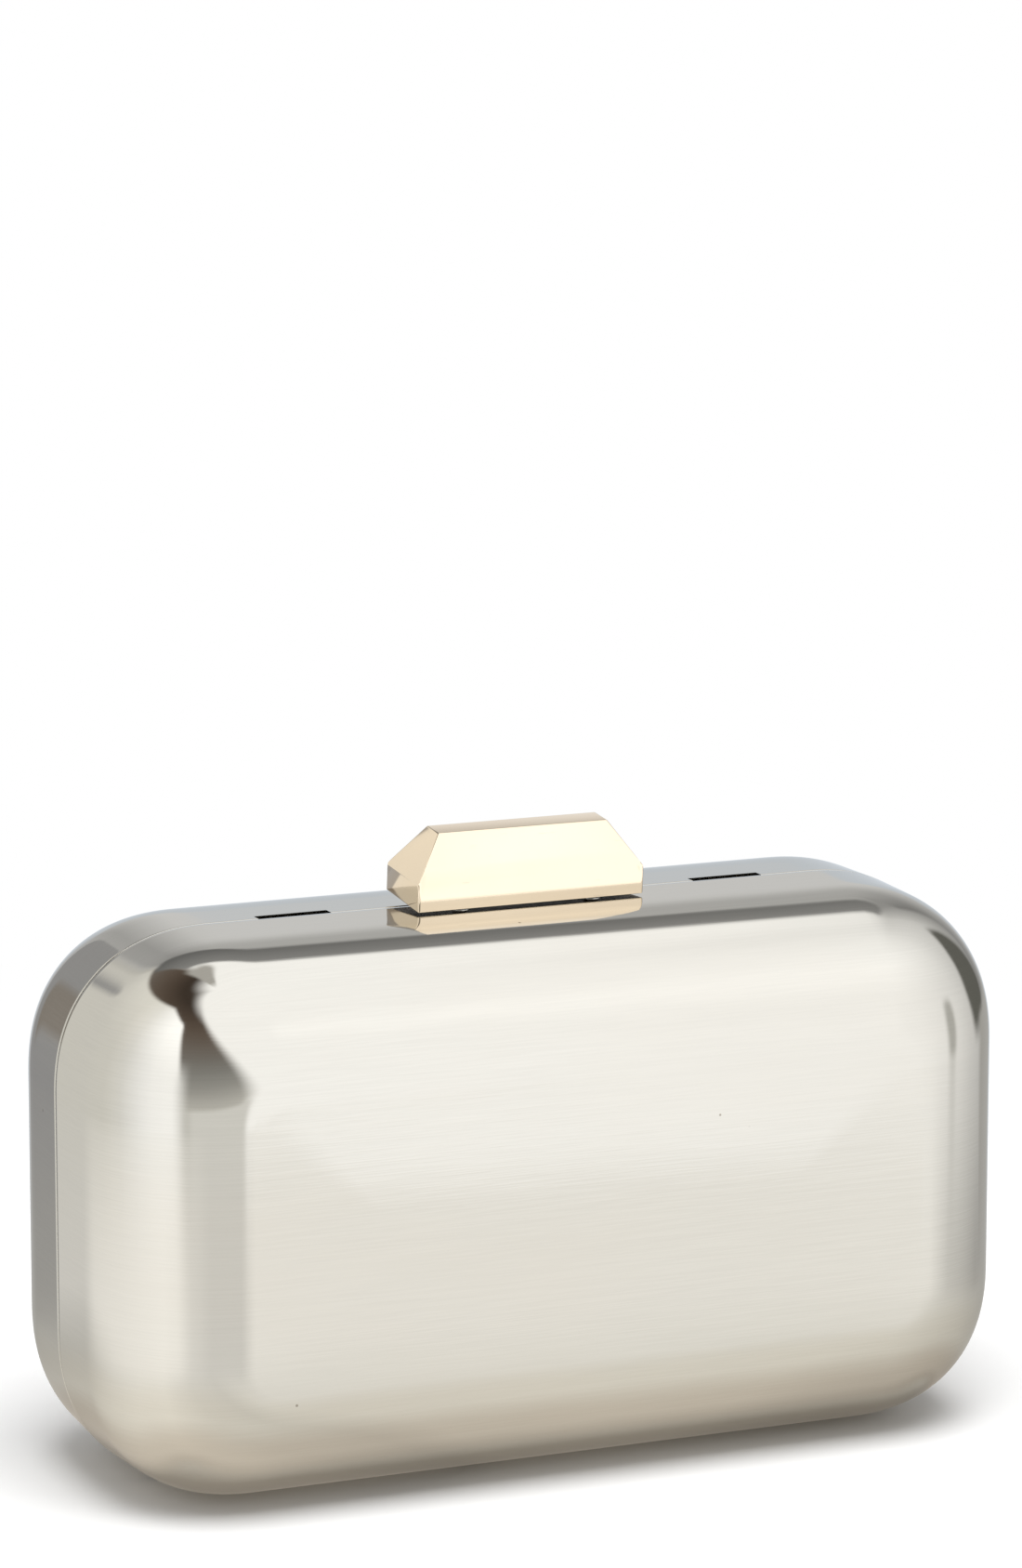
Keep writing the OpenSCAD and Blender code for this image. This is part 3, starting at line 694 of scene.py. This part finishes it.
def rivet_tree():
    """A domed rivet on every point. Its head looks down where Head down is 1."""
    tree, source = new_tree("rivet_row", ["Head radius", "Head height", "Shank radius", "Shank length",
                                          "Head down", "Seed"])
    sides = 36
    wide, tall = source["Head radius"], source["Head height"]
    ball = put(tree, "GeometryNodeMeshUVSphere", {"Segments": sides, "Rings": sides // 2, "Radius": 1.0})
    height = put(tree, "SeparateXYZ", {0: put(tree, "GeometryNodeInputPosition")}, 2)
    below = put(tree, "FunctionNodeCompare", {0: height, 1: -0.001}, data_type="FLOAT",
                operation="LESS_THAN")
    dome = put(tree, "GeometryNodeDeleteGeometry", {"Geometry": ball, "Selection": below}, domain="POINT")
    dome = moved(dome, Scale=put(tree, "CombineXYZ", {0: wide, 1: wide, 2: tall}))
    under = put(tree, "GeometryNodeMeshCircle", {"Vertices": sides, "Radius": wide}, fill_type="NGON")
    head = join(tree, dome, put(tree, "GeometryNodeFlipFaces", {0: under}))
    closed = put(tree, "GeometryNodeMergeByDistance", {"Geometry": head, "Distance": 1e-6})
    shank = put(tree, "GeometryNodeMeshCylinder", {"Vertices": sides, "Radius": source["Shank radius"],
                                                  "Depth": source["Shank length"]})
    shank = moved(shank, Translation=put(tree, "CombineXYZ", {2: source["Shank length"] * -0.5}))
    spin = put(tree, "FunctionNodeRandomValue", {2: 0.0, 3: tau, "Seed": source["Seed"]}, 1,
               data_type="FLOAT")
    turn = put(tree, "CombineXYZ", {0: source["Head down"] * pi, 2: spin})
    return stand_on_points(tree, source, join(tree, closed, shank), turn)


def ring_tree():
    """A wire swept round a ring, with a butt joint where its ends meet."""
    tree, source = new_tree("wire_ring", ["Ring radius", "Wire radius", "Joint half angle"])
    start = source["Joint half angle"]
    path = put(tree, "GeometryNodeCurveArc", {"Resolution": 120, "Radius": source["Ring radius"],
                                              "Start Angle": start, "Sweep Angle": tau - start * 2.0})
    wire = put(tree, "GeometryNodeCurvePrimitiveCircle",
               {"Resolution": 32, "Radius": source["Wire radius"]})
    ring = put(tree, "GeometryNodeCurveToMesh", {"Curve": path, "Profile Curve": wire, "Fill Caps": True})
    upright = moved(ring, Rotation=(pi / 2, 0, 0))
    return stand_on_points(tree, source, upright)


# Operators: one for each piece or group of like pieces

class CLUTCH_OT_shells(Operator):
    """Press the two brushed metal shells"""
    bl_idname = "clutch.shells"
    bl_label = "Shells"

    def execute(self, context):
        for side in (1, -1):
            make_shell(side)
        return {"FINISHED"}


class CLUTCH_OT_clasp_bar(Operator):
    """Cut the pale gold bar and round its edges"""
    bl_idname = "clutch.clasp_bar"
    bl_label = "Clasp bar"

    def execute(self, context):
        stems = [(low + high) / 2 for low, high in islands("clasp_stems")]

        sizes = context.scene.clutch_clasp
        lean = Vector((0, sin(CLASP_LEAN), -cos(CLASP_LEAN)))

        def rounding(edge):
            a, b = edge.verts[0].co, edge.verts[1].co
            middle = (a + b) / 2
            if any(hypot(middle.x - s[0], middle.y - s[1]) <= 2.5 * MM for s in stems):
                # The sockets in the foot keep their crisp edges
                return 0.0
            if abs((b - a).normalized().dot(lean)) > 0.99:
                return sizes.bar_corner
            bend = degrees(edge.calc_face_angle(0))
            if abs(b.x - a.x) > 0.8 * bar_length and 28 < bend < 37:
                return sizes.bar_crease
            return sizes.bar_edge

        low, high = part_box("clasp_bar")
        bar_length = high.x - low.x
        bar = soften_each("clasp_bar_cut", "clasp_bar", rounding, 6)
        # The foot is painted dark brown and rough: painted shade for the narrow gap over the shell
        foot = bar.data.attributes.new("foot", "FLOAT", "FACE")
        foot.data.foreach_set("value", [float(f.normal.dot(lean) > 0.8) for f in bar.data.polygons])
        finish_piece(bar, "clasp", "gold_metal", "bar", "clasp_bar")
        return {"FINISHED"}


class CLUTCH_OT_fittings(Operator):
    """Round the edges of the strip frames, hinge leaves, lock, spring and chain lugs"""
    bl_idname = "clutch.fittings"
    bl_label = "Pressed fittings"

    def execute(self, context):
        edge = context.scene.clutch_clasp.fitting_edge
        nickel, steel = ("frame_metal", "nickel"), ("steel", "steel")
        jobs = [("rear_frame", "rear_half", *nickel), ("front_frame", "front_half", *nickel),
                ("rear_hinge_leaf", "rear_half", *nickel), ("front_hinge_leaf", "front_half", *nickel),
                ("lock_housing", "front_half", *nickel), ("left_chain_lug", "rear_half", *nickel),
                ("right_chain_lug", "rear_half", *nickel), ("keeper", "rear_half", *steel),
                ("latch_hook", "clasp", *steel)]
        for node, body, slot_name, kind in jobs:
            finish_piece(soften(node + "_pressed", node, edge), body, slot_name, kind, node)
        leaf = soften("return_spring_leaf", "return_spring", edge / 2)
        finish_piece(leaf, "front_half", *steel, "return_spring")
        for node, kind in (("hinge_pin", "steel"), ("clasp_stems", "steel"), ("stem_ferrules", "nickel"),
                           ("stem_nuts", "nickel")):
            dress(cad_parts[node], kind)
        return {"FINISHED"}


class CLUTCH_OT_rivets(Operator):
    """Set the domed rivets of the hinge, lock, keeper and lugs"""
    bl_idname = "clutch.rivets"
    bl_label = "Rivets"

    def execute(self, context):
        sizes, tree = context.scene.clutch_rivets, rivet_tree()
        rows = [("rear_hinge_rivets", "rear_half", 0.0), ("front_hinge_rivets", "front_half", 0.0),
                ("housing_rivets", "front_half", 1.0), ("keeper_rivets", "rear_half", 1.0),
                ("lug_rivets", "rear_half", 1.0)]
        for seed, (node, body, down) in enumerate(rows):
            places, tall = [], 0
            for low, high in islands(node):
                middle = (low + high) / 2
                tall = high[2] - low[2]
                head = low[2] + sizes.head_height if down else high[2] - sizes.head_height
                places.append((middle[0], middle[1], head))
            piece = run_tree(node + "_domed", places, tree, {
                "Head radius": sizes.head_radius, "Head height": sizes.head_height,
                "Shank radius": sizes.shank_radius, "Shank length": tall - sizes.head_height,
                "Head down": down, "Seed": seed, "Metal": material_for("steel")})
            finish_piece(piece, body, "steel", None, node)
        return {"FINISHED"}


class CLUTCH_OT_chain_rings(Operator):
    """Bend the two rings that carry the ends of a chain"""
    bl_idname = "clutch.chain_rings"
    bl_label = "Chain rings"

    def execute(self, context):
        sizes, tree = context.scene.clutch_rivets, ring_tree()
        for side in ("left", "right"):
            node = side + "_chain_ring"
            low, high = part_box(node)
            piece = run_tree(node + "_wire", [(low + high) / 2], tree, {
                "Ring radius": sizes.ring_radius, "Wire radius": sizes.ring_wire,
                "Joint half angle": radians(0.9), "Metal": material_for("gold")})
            finish_piece(piece, side + "_ring", "gold_metal", None, node)
        return {"FINISHED"}


class CLUTCH_OT_linings(Operator):
    """Lay the satin over the card trays, with its edge folded over the rim"""
    bl_idname = "clutch.linings"
    bl_label = "Linings"

    def execute(self, context):
        for side in (1, -1):
            make_lining(side)
        for node in ("rear_former", "front_former"):
            dress(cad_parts[node], "card")
        return {"FINISHED"}


def make_lining(side):
    """Satin over one tray: +1 behind the seam, -1 in front of it."""
    sizes = bpy.context.scene.clutch_lining
    half = "rear" if side > 0 else "front"
    node = half + "_lining"
    radius, side_depth, round_radius = 27.5 * MM, 13 * MM, 24.5 * MM
    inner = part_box(node)[0].z + 0.8 * MM
    cuts = {1: [(0.0, 11.3, 9.9), (43.0, 7.3, 10.1)], -1: [(0.0, 24.1, 11.3)]}[side]
    cuts = [(c * MM, w * MM, d * MM) for c, w, d in cuts]
    marks = [m for c, w, d in cuts for m in (c - w, c + w) if m > 0] + [HINGE_REACH]
    hem = [(2.38, 1.97, 2.20, 2.38), (2.20, 2.02, 2.32, 2.36), (2.12, 2.35, 2.55, 2.36),
           (2.10, 2.90, 2.85, 2.36), (2.16, 3.40, 3.00, 2.46), (2.40, 3.64, 3.20, 2.75)]
    deep = sorted({3.1, 4.4, 6.2, 7.8, 9.3, *(round(d / MM, 3) for c, w, d in cuts), 11.4}) + [13.0]
    skins = []
    for first, inset in (([h[:2] for h in hem], inner), ([h[:1:-1] for h in hem], inner - sizes.wall)):
        skin = [(d * MM, i * MM) for d, i in first] + [(d * MM, inset) for d in deep]
        bend = round_radius - inset
        for turn in np.linspace(0, pi / 2, 25)[1:]:
            skin.append((side_depth + bend * sin(turn), inset + bend * (1 - cos(turn))))
        skins.append(with_slides(skin, 13))
    rim, hub = outline(BODY_WIDTH, BODY_HEIGHT, radius, 2.0, marks, 48, 60, 24)
    turned = np.arctan2(rim[:, 1] - hub[:, 1], rim[:, 0] - hub[:, 0])
    corner = np.abs(np.sin(2 * turned)) ** 0.8

    def adjust(grid, which, stations):
        x, y, z = np.moveaxis(grid, 2, 0)
        depths, _, slides = np.array(stations).T[:, :, None]
        # Soft folds run from the corners of the rim over the rounded edge
        reach = smooth_step(depths, 4 * MM, 16 * MM) * (1 - smooth_step(slides, 0, 0.5))
        fold = np.sin(turned * sizes.pleats * 2 + 0.6 * np.sin(turned * 5)) * 0.5 + 0.5
        rise = sizes.rumple * reach * (corner * fold + 0.35 * (1 + waves(x * 2.1, z * 2.7)))
        if which == 0:
            # Towards the hollow: in from the walls and off the floor of the tray
            inward = (hub - rim) / np.linalg.norm(hub - rim, axis=1, keepdims=True)
            lift = smooth_step(depths, 13 * MM, 36 * MM)
            x += inward[:, 0] * rise * (1 - lift)
            y -= side * rise * lift
            z += inward[:, 1] * rise * (1 - lift)
        return grid

    def gone(near, far, beside):
        x = abs(near[0] + beside[0]) / 2
        depth = max(abs(near[1]), abs(far[1])) - 0.05 * MM
        if min(near[2], beside[2]) > BODY_HEIGHT * 0.9:
            return any(c - w < x < c + w and depth < d for c, w, d in cuts)
        return max(near[2], beside[2]) < BODY_HEIGHT * 0.1 and x < HINGE_REACH and depth < 3.1 * MM

    name = node + "_satin"
    mesh = wrap(name, -side, rim, hub, radius, skins, gone, adjust)
    for v in mesh.vertices:
        v.co.y = -v.co.y
    mesh.flip_normals()
    shade(mesh, 50)
    finish_piece(new_object(name, mesh), half + "_half", "satin", "satin", node)


class CLUTCH_OT_stage(Operator):
    """Set the floor, the lamps, the room that the metal reflects and the camera"""
    bl_idname = "clutch.stage"
    bl_label = "Stage"

    def execute(self, context):
        make_floor(context.scene)
        make_lamps(context.scene)
        make_room(context.scene)
        make_camera(context.scene)
        context.scene.view_settings.view_transform = "Standard"
        return {"FINISHED"}


def compass_of(x, y):
    """Degrees round from the front, + to the right."""
    return x.calc("ARCTAN2", y * -1).calc("DEGREES")


def gradient(value, stops):
    """Grey levels along a value, from its stops: {value: level}."""
    stops = list(stops.items())
    low, high = stops[0][0], stops[-1][0]
    place = put(value.tree, "MapRange", {"Value": value, "From Min": low, "From Max": high})
    levels = put(value.tree, "ValToRGB", {0: place})
    marks = levels.socket.node.color_ramp.elements
    marks[0].color, marks[1].color = grey(stops[0][1]), grey(stops[-1][1])
    for at, level in stops[1:-1]:
        marks.new((at - low) / (high - low)).color = grey(level)
    return levels


def mirror_rays(tree):
    """The rays of a tree's light, and 1 where a ray comes by way of metal."""
    rays = put(tree, "LightPath")
    return rays, rays["Is Glossy Ray"].calc("MAXIMUM", rays["Is Transmission Ray"])


def make_floor(scene):
    """A wide pale floor. The camera sees it white, and metal sees it end a little way off."""
    look = scene.clutch_studio
    reach = 4.0
    corners = [(-reach, -reach, 0), (reach, -reach, 0), (reach, reach, 0), (-reach, reach, 0)]
    mesh = mesh_from("floor", corners, [(0, 1, 2, 3)])
    floor = new_object("studio_floor", mesh)
    material, tree = new_material("pale_floor")

    def covered(part, under, over):
        return put(tree, "MixShader", {0: part, 1: under, 2: over})

    def glowing(colour, strength=1):
        return put(tree, "Emission", {"Color": colour, "Strength": strength})

    rays, mirrored = mirror_rays(tree)
    place = object_place(tree)
    x, y, _ = put(tree, "SeparateXYZ", {0: place})
    # Distance from the clutch's foot
    past_x = (abs(x) - BODY_WIDTH * 0.42).calc("MAXIMUM", 0)
    past_y = (abs(y) - HALF_DEPTH * 0.66).calc("MAXIMUM", 0)
    away = (past_x * past_x + past_y * past_y) ** 0.5
    pale = blend(object_noise(tree, (40, 40, 40), 3, 2), rgba(look.floor_tint, 0.99),
                 rgba(look.floor_tint, 1.01))
    # To metal the floor's tint is made a fifth brighter: painted light
    colour = blend(rays["Is Camera Ray"], blend(mirrored, pale, dim(pale, 1.2)), grey(0.9))
    surface = put(tree, "BsdfDiffuse", {"Color": colour})
    # Metal sees the floor as a painted glow, lit from the front: dimmer to the right and behind, and with a
    # painted shadow, darker and browner, towards the foot
    level = gradient(compass_of(x, y), {
        -180: 0.45, -135: 0.56, -97: 0.93, -80: 1.08, -68: 1.12, -55: 0.94, -42: 0.87, -30: 0.97, 10: 1,
        45: 0.98, 80: 0.68, 100: 0.57, 180: 0.5})
    # Painted shadow round the foot, as metal sees the floor
    near = rgba((0.46, 0.41, 0.35))
    for low, high, tone in ((0, 0.012, (0.77, 0.7, 0.61)), (0.012, 0.034, (0.97, 0.93, 0.85)),
                            (0.034, 0.09, (1.04, 1.02, 0.97))):
        near = blend(ramp(away, low, high), near, rgba(tone))
    surface = covered(ramp(away, 0.001, 0.008, 0.5, 1) * mirrored, surface, glowing(tinted(level, near)))
    # Past the shadow the camera sees plain white, as on a lit sweep
    distance = put(tree, "VectorMath", {0: place}, "Value", operation="LENGTH")
    surface = covered(ramp(distance, 0.16, 0.42) * rays["Is Camera Ray"], surface,
                      glowing(grey(1), look.floor_white))
    surface = covered(ramp(away, look.floor_end * 0.65, look.floor_end * 1.3) * mirrored, surface,
                      put(tree, "BsdfTransparent"))
    put(tree, "OutputMaterial", {"Surface": surface})
    mesh.materials.append(material)


def make_lamps(scene):
    """One large soft lamp, above and in front, that the metal doesn't mirror."""
    lamp = bpy.data.lights.new("front_softbox", "AREA")
    lamp.shape, lamp.size = "SQUARE", 1.1
    lamp.energy = scene.clutch_studio.overhead * FULL_LAMP_WATTS
    obj = bpy.data.objects.new("front_softbox", lamp)
    obj.location = (-0.05, -0.4, 1.4)
    obj.rotation_euler = obj.location.to_track_quat("Z", "Y").to_euler()
    obj.visible_camera = obj.visible_glossy = False
    scene.collection.objects.link(obj)


def make_room(scene):
    """The world. The camera sees plain white. Metal sees soft panels and the dark gaps between them, drawn
    by compass direction and height in degrees. Levels are shares of the brightest panel."""
    world = bpy.data.worlds.new("studio_room")
    scene.world = world
    world.use_nodes = True
    tree = world.node_tree
    tree.nodes.clear()
    x, y, z = put(tree, "SeparateXYZ", {0: put(tree, "TexCoord", out="Generated")})
    height = z.calc("ARCSINE").calc("DEGREES")
    compass = compass_of(x, y)
    risen = height.calc("MAXIMUM", 0)

    def bearing(centre):
        return (compass - centre).calc("WRAP", 180, -180)

    def above(value, limit, soft):
        """1 where the value is over the limit. The limit may be a value too."""
        return ramp(value - limit, -soft, soft)

    def below(value, limit, soft):
        return ramp(limit - value, -soft, soft)

    def patch(centre, corners, soft):
        """A patch with straight sides. Its corners run clockwise, as (degrees from the centre, height)."""
        across, mask = bearing(centre), 1.0
        for (x0, y0), (x1, y1) in zip(corners, corners[1:] + corners[:1]):
            span = hypot(x1 - x0, y1 - y0)
            over = across * ((y1 - y0) / span) + (y0 * (x1 - x0) - x0 * (y1 - y0)) / span
            mask = ramp(height * ((x0 - x1) / span) + over, -soft, soft) * mask
        return mask

    # Right-hand panel, dimmer to the side, with a soft round top
    arch = 64 - abs(bearing(85)) ** 2 * 0.006
    wash = gradient(compass, {
        20: 0.88, 35: 0.84, 55: 0.76, 75: 0.67, 90: 0.58, 110: 0.5, 120: 0.36, 130: 0.24})
    wash = dim(wash, ramp(height, 12, 52, 1, 1.16))
    glow = blend(above(compass, 26, 4) * below(height, arch, 6), grey(0.91), wash)
    # Dark ceiling behind the left-hand panel, and the dark gap between that panel and the white one. The
    # gap's right side leans to the left with height
    turned = compass + 110.0
    lid = 81.6 - turned.calc("MAXIMUM", 0) ** 1.6 * 0.02 + turned.calc("MINIMUM", 0) * 0.075
    gap_side = 8.5 - risen * (risen * 0.0055 + 0.42)
    gap = below(height, lid, 7.5) * above(compass, -176, 6) * below(compass, gap_side, 6.5)
    dark = gradient(height, {
        -4: 0.46, 0: 0.4, 5: 0.33, 10: 0.27, 20: 0.2, 30: 0.15, 45: 0.1, 60: 0.06, 70: 0.035})
    brown = blend(ramp(height, 15, 65), (1, 0.985, 0.93, 1), (1.25, 0.93, 0.72, 1))
    glow = blend(gap, glow, tinted(dark, brown))
    glow = blend(patch(178, [(-13, 62), (-7, 83), (16, 84), (14, 60), (-7, 57)], 4), glow,
                 rgba((0.38, 0.37, 0.35)))
    # Behind the clutch: grey wall, a darker band over it, light and bluish low down
    behind = bearing(157)
    wall = gradient(behind, {-32: 0.17, -20: 0.3, -8: 0.42, 6: 0.44, 18: 0.3, 26: 0.33, 36: 0.54})
    wall = dim(wall, ramp(height, 13, 32, 1.3, 0.93))
    low_wall = below(height, 10.8, 1) * above(height, -22, 6)
    wall = blend(low_wall * above(behind, -17, 6) * below(behind, 18, 6), wall,
                 rgba((0.5, 0.535, 0.575)))
    glow = blend(patch(157, [(-33, -90), (-30, 42), (24, 40), (30, 40), (34, -90)], 3), glow, wall)
    glow = blend(patch(150, [(-32, 56), (36, 56), (42, 38), (26, 30), (10, 36), (-10, 40)], 2), glow,
                 gradient(height, {36: 0.125, 45: 0.17, 58: 0.24}))
    # Dark doorway to the right, and a small stand beside it
    glow = blend(patch(107, [(-9, -9), (-15, 4), (-13, 17), (-8, 27), (1, 35), (8, 29),
                               (13, 14), (19, -2), (11, -9)], 4), glow, rgba((0.11, 0.11, 0.1)))
    glow = blend(patch(63, [(-4, -13), (-6, 0), (-3, 11), (4, 11), (6, 0), (4, -13)], 3.5), glow,
                 rgba((0.4, 0.4, 0.385)))
    # Left-hand panel: a crisp right side, and a top that curves down to both ends
    top = 60.8 - abs(bearing(-93)) ** 1.35 * 0.072
    side = below(compass, risen ** 2 * -0.0046 - 49.5, 3)
    side = mix(ramp(height, 8, 30), below(compass, -48, 9), side)
    lit = gradient(compass, {
        -175: 0.5, -160: 0.56, -125: 0.57, -105: 0.64, -95: 0.72, -85: 0.8, -75: 0.87, -62: 0.905})
    lit = dim(lit, ramp(height, 12, 52, 1, 1.2))
    lit = blend(ramp(compass, -80, -125, 0, 0.8), lit, tinted(lit, (1.02, 1, 0.93)))
    glow = blend(below(height, top, 2) * side * above(compass, -173, 4), glow, lit)
    glow = blend(above(compass, -181, 1) * below(compass, -161, 1.5) * below(height, 22, 2), glow,
                 rgba((0.27, 0.27, 0.275)))
    glow = blend(patch(-160, [(-9, -8), (-9, 2), (-4, 12), (0, 12), (0, -2)], 2), glow,
                 rgba((0.22, 0.2, 0.18)))
    # Ground beyond the floor. Its edge is crisp straight ahead and softer at the sides
    ground = gradient(compass, {
        -180: 0.36, -166: 0.32, -157: 0.6, -140: 0.74, -105: 0.79, -65: 0.86, -52: 0.83, -40: 0.68,
        -22: 0.6, 6: 0.6, 18: 0.775, 38: 0.76, 60: 0.53, 85: 0.44, 105: 0.34, 125: 0.38, 180: 0.36})
    ground = tinted(dim(ground, ramp(height, -15, -23, 1, 0.95)), (1, 0.985, 0.955))
    glow = blend(above(compass, -42, 7) * below(compass, 9, 3) * below(height, -4, 1.5), glow,
                 rgba((0.6, 0.595, 0.575)))
    ahead = patch(23.5, [(-9, -90), (-9, 90), (5, 90), (5, -90)], 3)
    far_edge = mix(ahead, below(height, -14.4, 1.4), below(height, -14.1, 0.6))
    rise = below(height, -6, 2) * above(compass, 108, 5) * below(compass, 137, 4)
    glow = blend(far_edge.calc("MAXIMUM", rise), glow, ground)
    rays, mirrored = mirror_rays(tree)
    colour = blend(mirrored, grey(scene.clutch_studio.fill), dim(glow, BRIGHTEST_PANEL))
    colour = blend(rays["Is Camera Ray"], colour, grey(1))
    light = put(tree, "Background", {"Color": colour, "Strength": 1.0})
    put(tree, "OutputWorld", {"Surface": light})


def make_camera(scene):
    """The photograph's camera, worked out from the clutch's outline."""
    a, e = radians(VIEW_AZIMUTH), radians(VIEW_ELEVATION)
    back = Vector((sin(a) * cos(e), -cos(a) * cos(e), sin(e)))
    data = bpy.data.cameras.new("camera")
    data.sensor_width = 36.0
    data.lens = FOCAL_PIXELS * data.sensor_width / max(PICTURE_WIDTH, PICTURE_HEIGHT)
    data.clip_start, data.clip_end = 0.01, 50.0
    camera = bpy.data.objects.new("camera", data)
    camera.location = VIEW_TARGET + back * VIEW_DISTANCE
    camera.rotation_euler = (-back).to_track_quat("-Z", "Y").to_euler()
    scene.collection.objects.link(camera)
    scene.camera = camera


class CLUTCH_PT_panel(Panel):
    """Buttons for each group of pieces and for the stage"""
    bl_idname = "CLUTCH_PT_panel"
    bl_label = "Box clutch"
    bl_space_type = "VIEW_3D"
    bl_region_type = "UI"
    bl_category = "Clutch"

    def draw(self, context):
        for step in STEPS:
            self.layout.operator(step.bl_idname)
        for group in GROUPS:
            box = self.layout.box()
            box.label(text=group.__doc__)
            for key in group.__annotations__:
                box.prop(getattr(context.scene, GROUPS[group]), key)


GROUPS = {ShellSizes: "clutch_shell", ClaspSizes: "clutch_clasp", LiningSizes: "clutch_lining",
          RivetSizes: "clutch_rivets", Finishes: "clutch_finishes", StudioLook: "clutch_studio"}
STEPS = (CLUTCH_OT_shells, CLUTCH_OT_clasp_bar, CLUTCH_OT_fittings, CLUTCH_OT_rivets, CLUTCH_OT_chain_rings,
         CLUTCH_OT_linings, CLUTCH_OT_stage)


def register():
    for group, label in GROUPS.items():
        bpy.utils.register_class(group)
        setattr(bpy.types.Scene, label, PointerProperty(type=group))
    for step in STEPS:
        bpy.utils.register_class(step)
    bpy.utils.register_class(CLUTCH_PT_panel)


def unregister():
    bpy.utils.unregister_class(CLUTCH_PT_panel)
    for step in reversed(STEPS):
        bpy.utils.unregister_class(step)
    for group, label in GROUPS.items():
        delattr(bpy.types.Scene, label)
        bpy.utils.unregister_class(group)


def main():
    register()
    for step in STEPS:
        family, name = step.bl_idname.split(".")
        getattr(getattr(bpy.ops, family), name)()


if __name__ == "__main__":
    main()
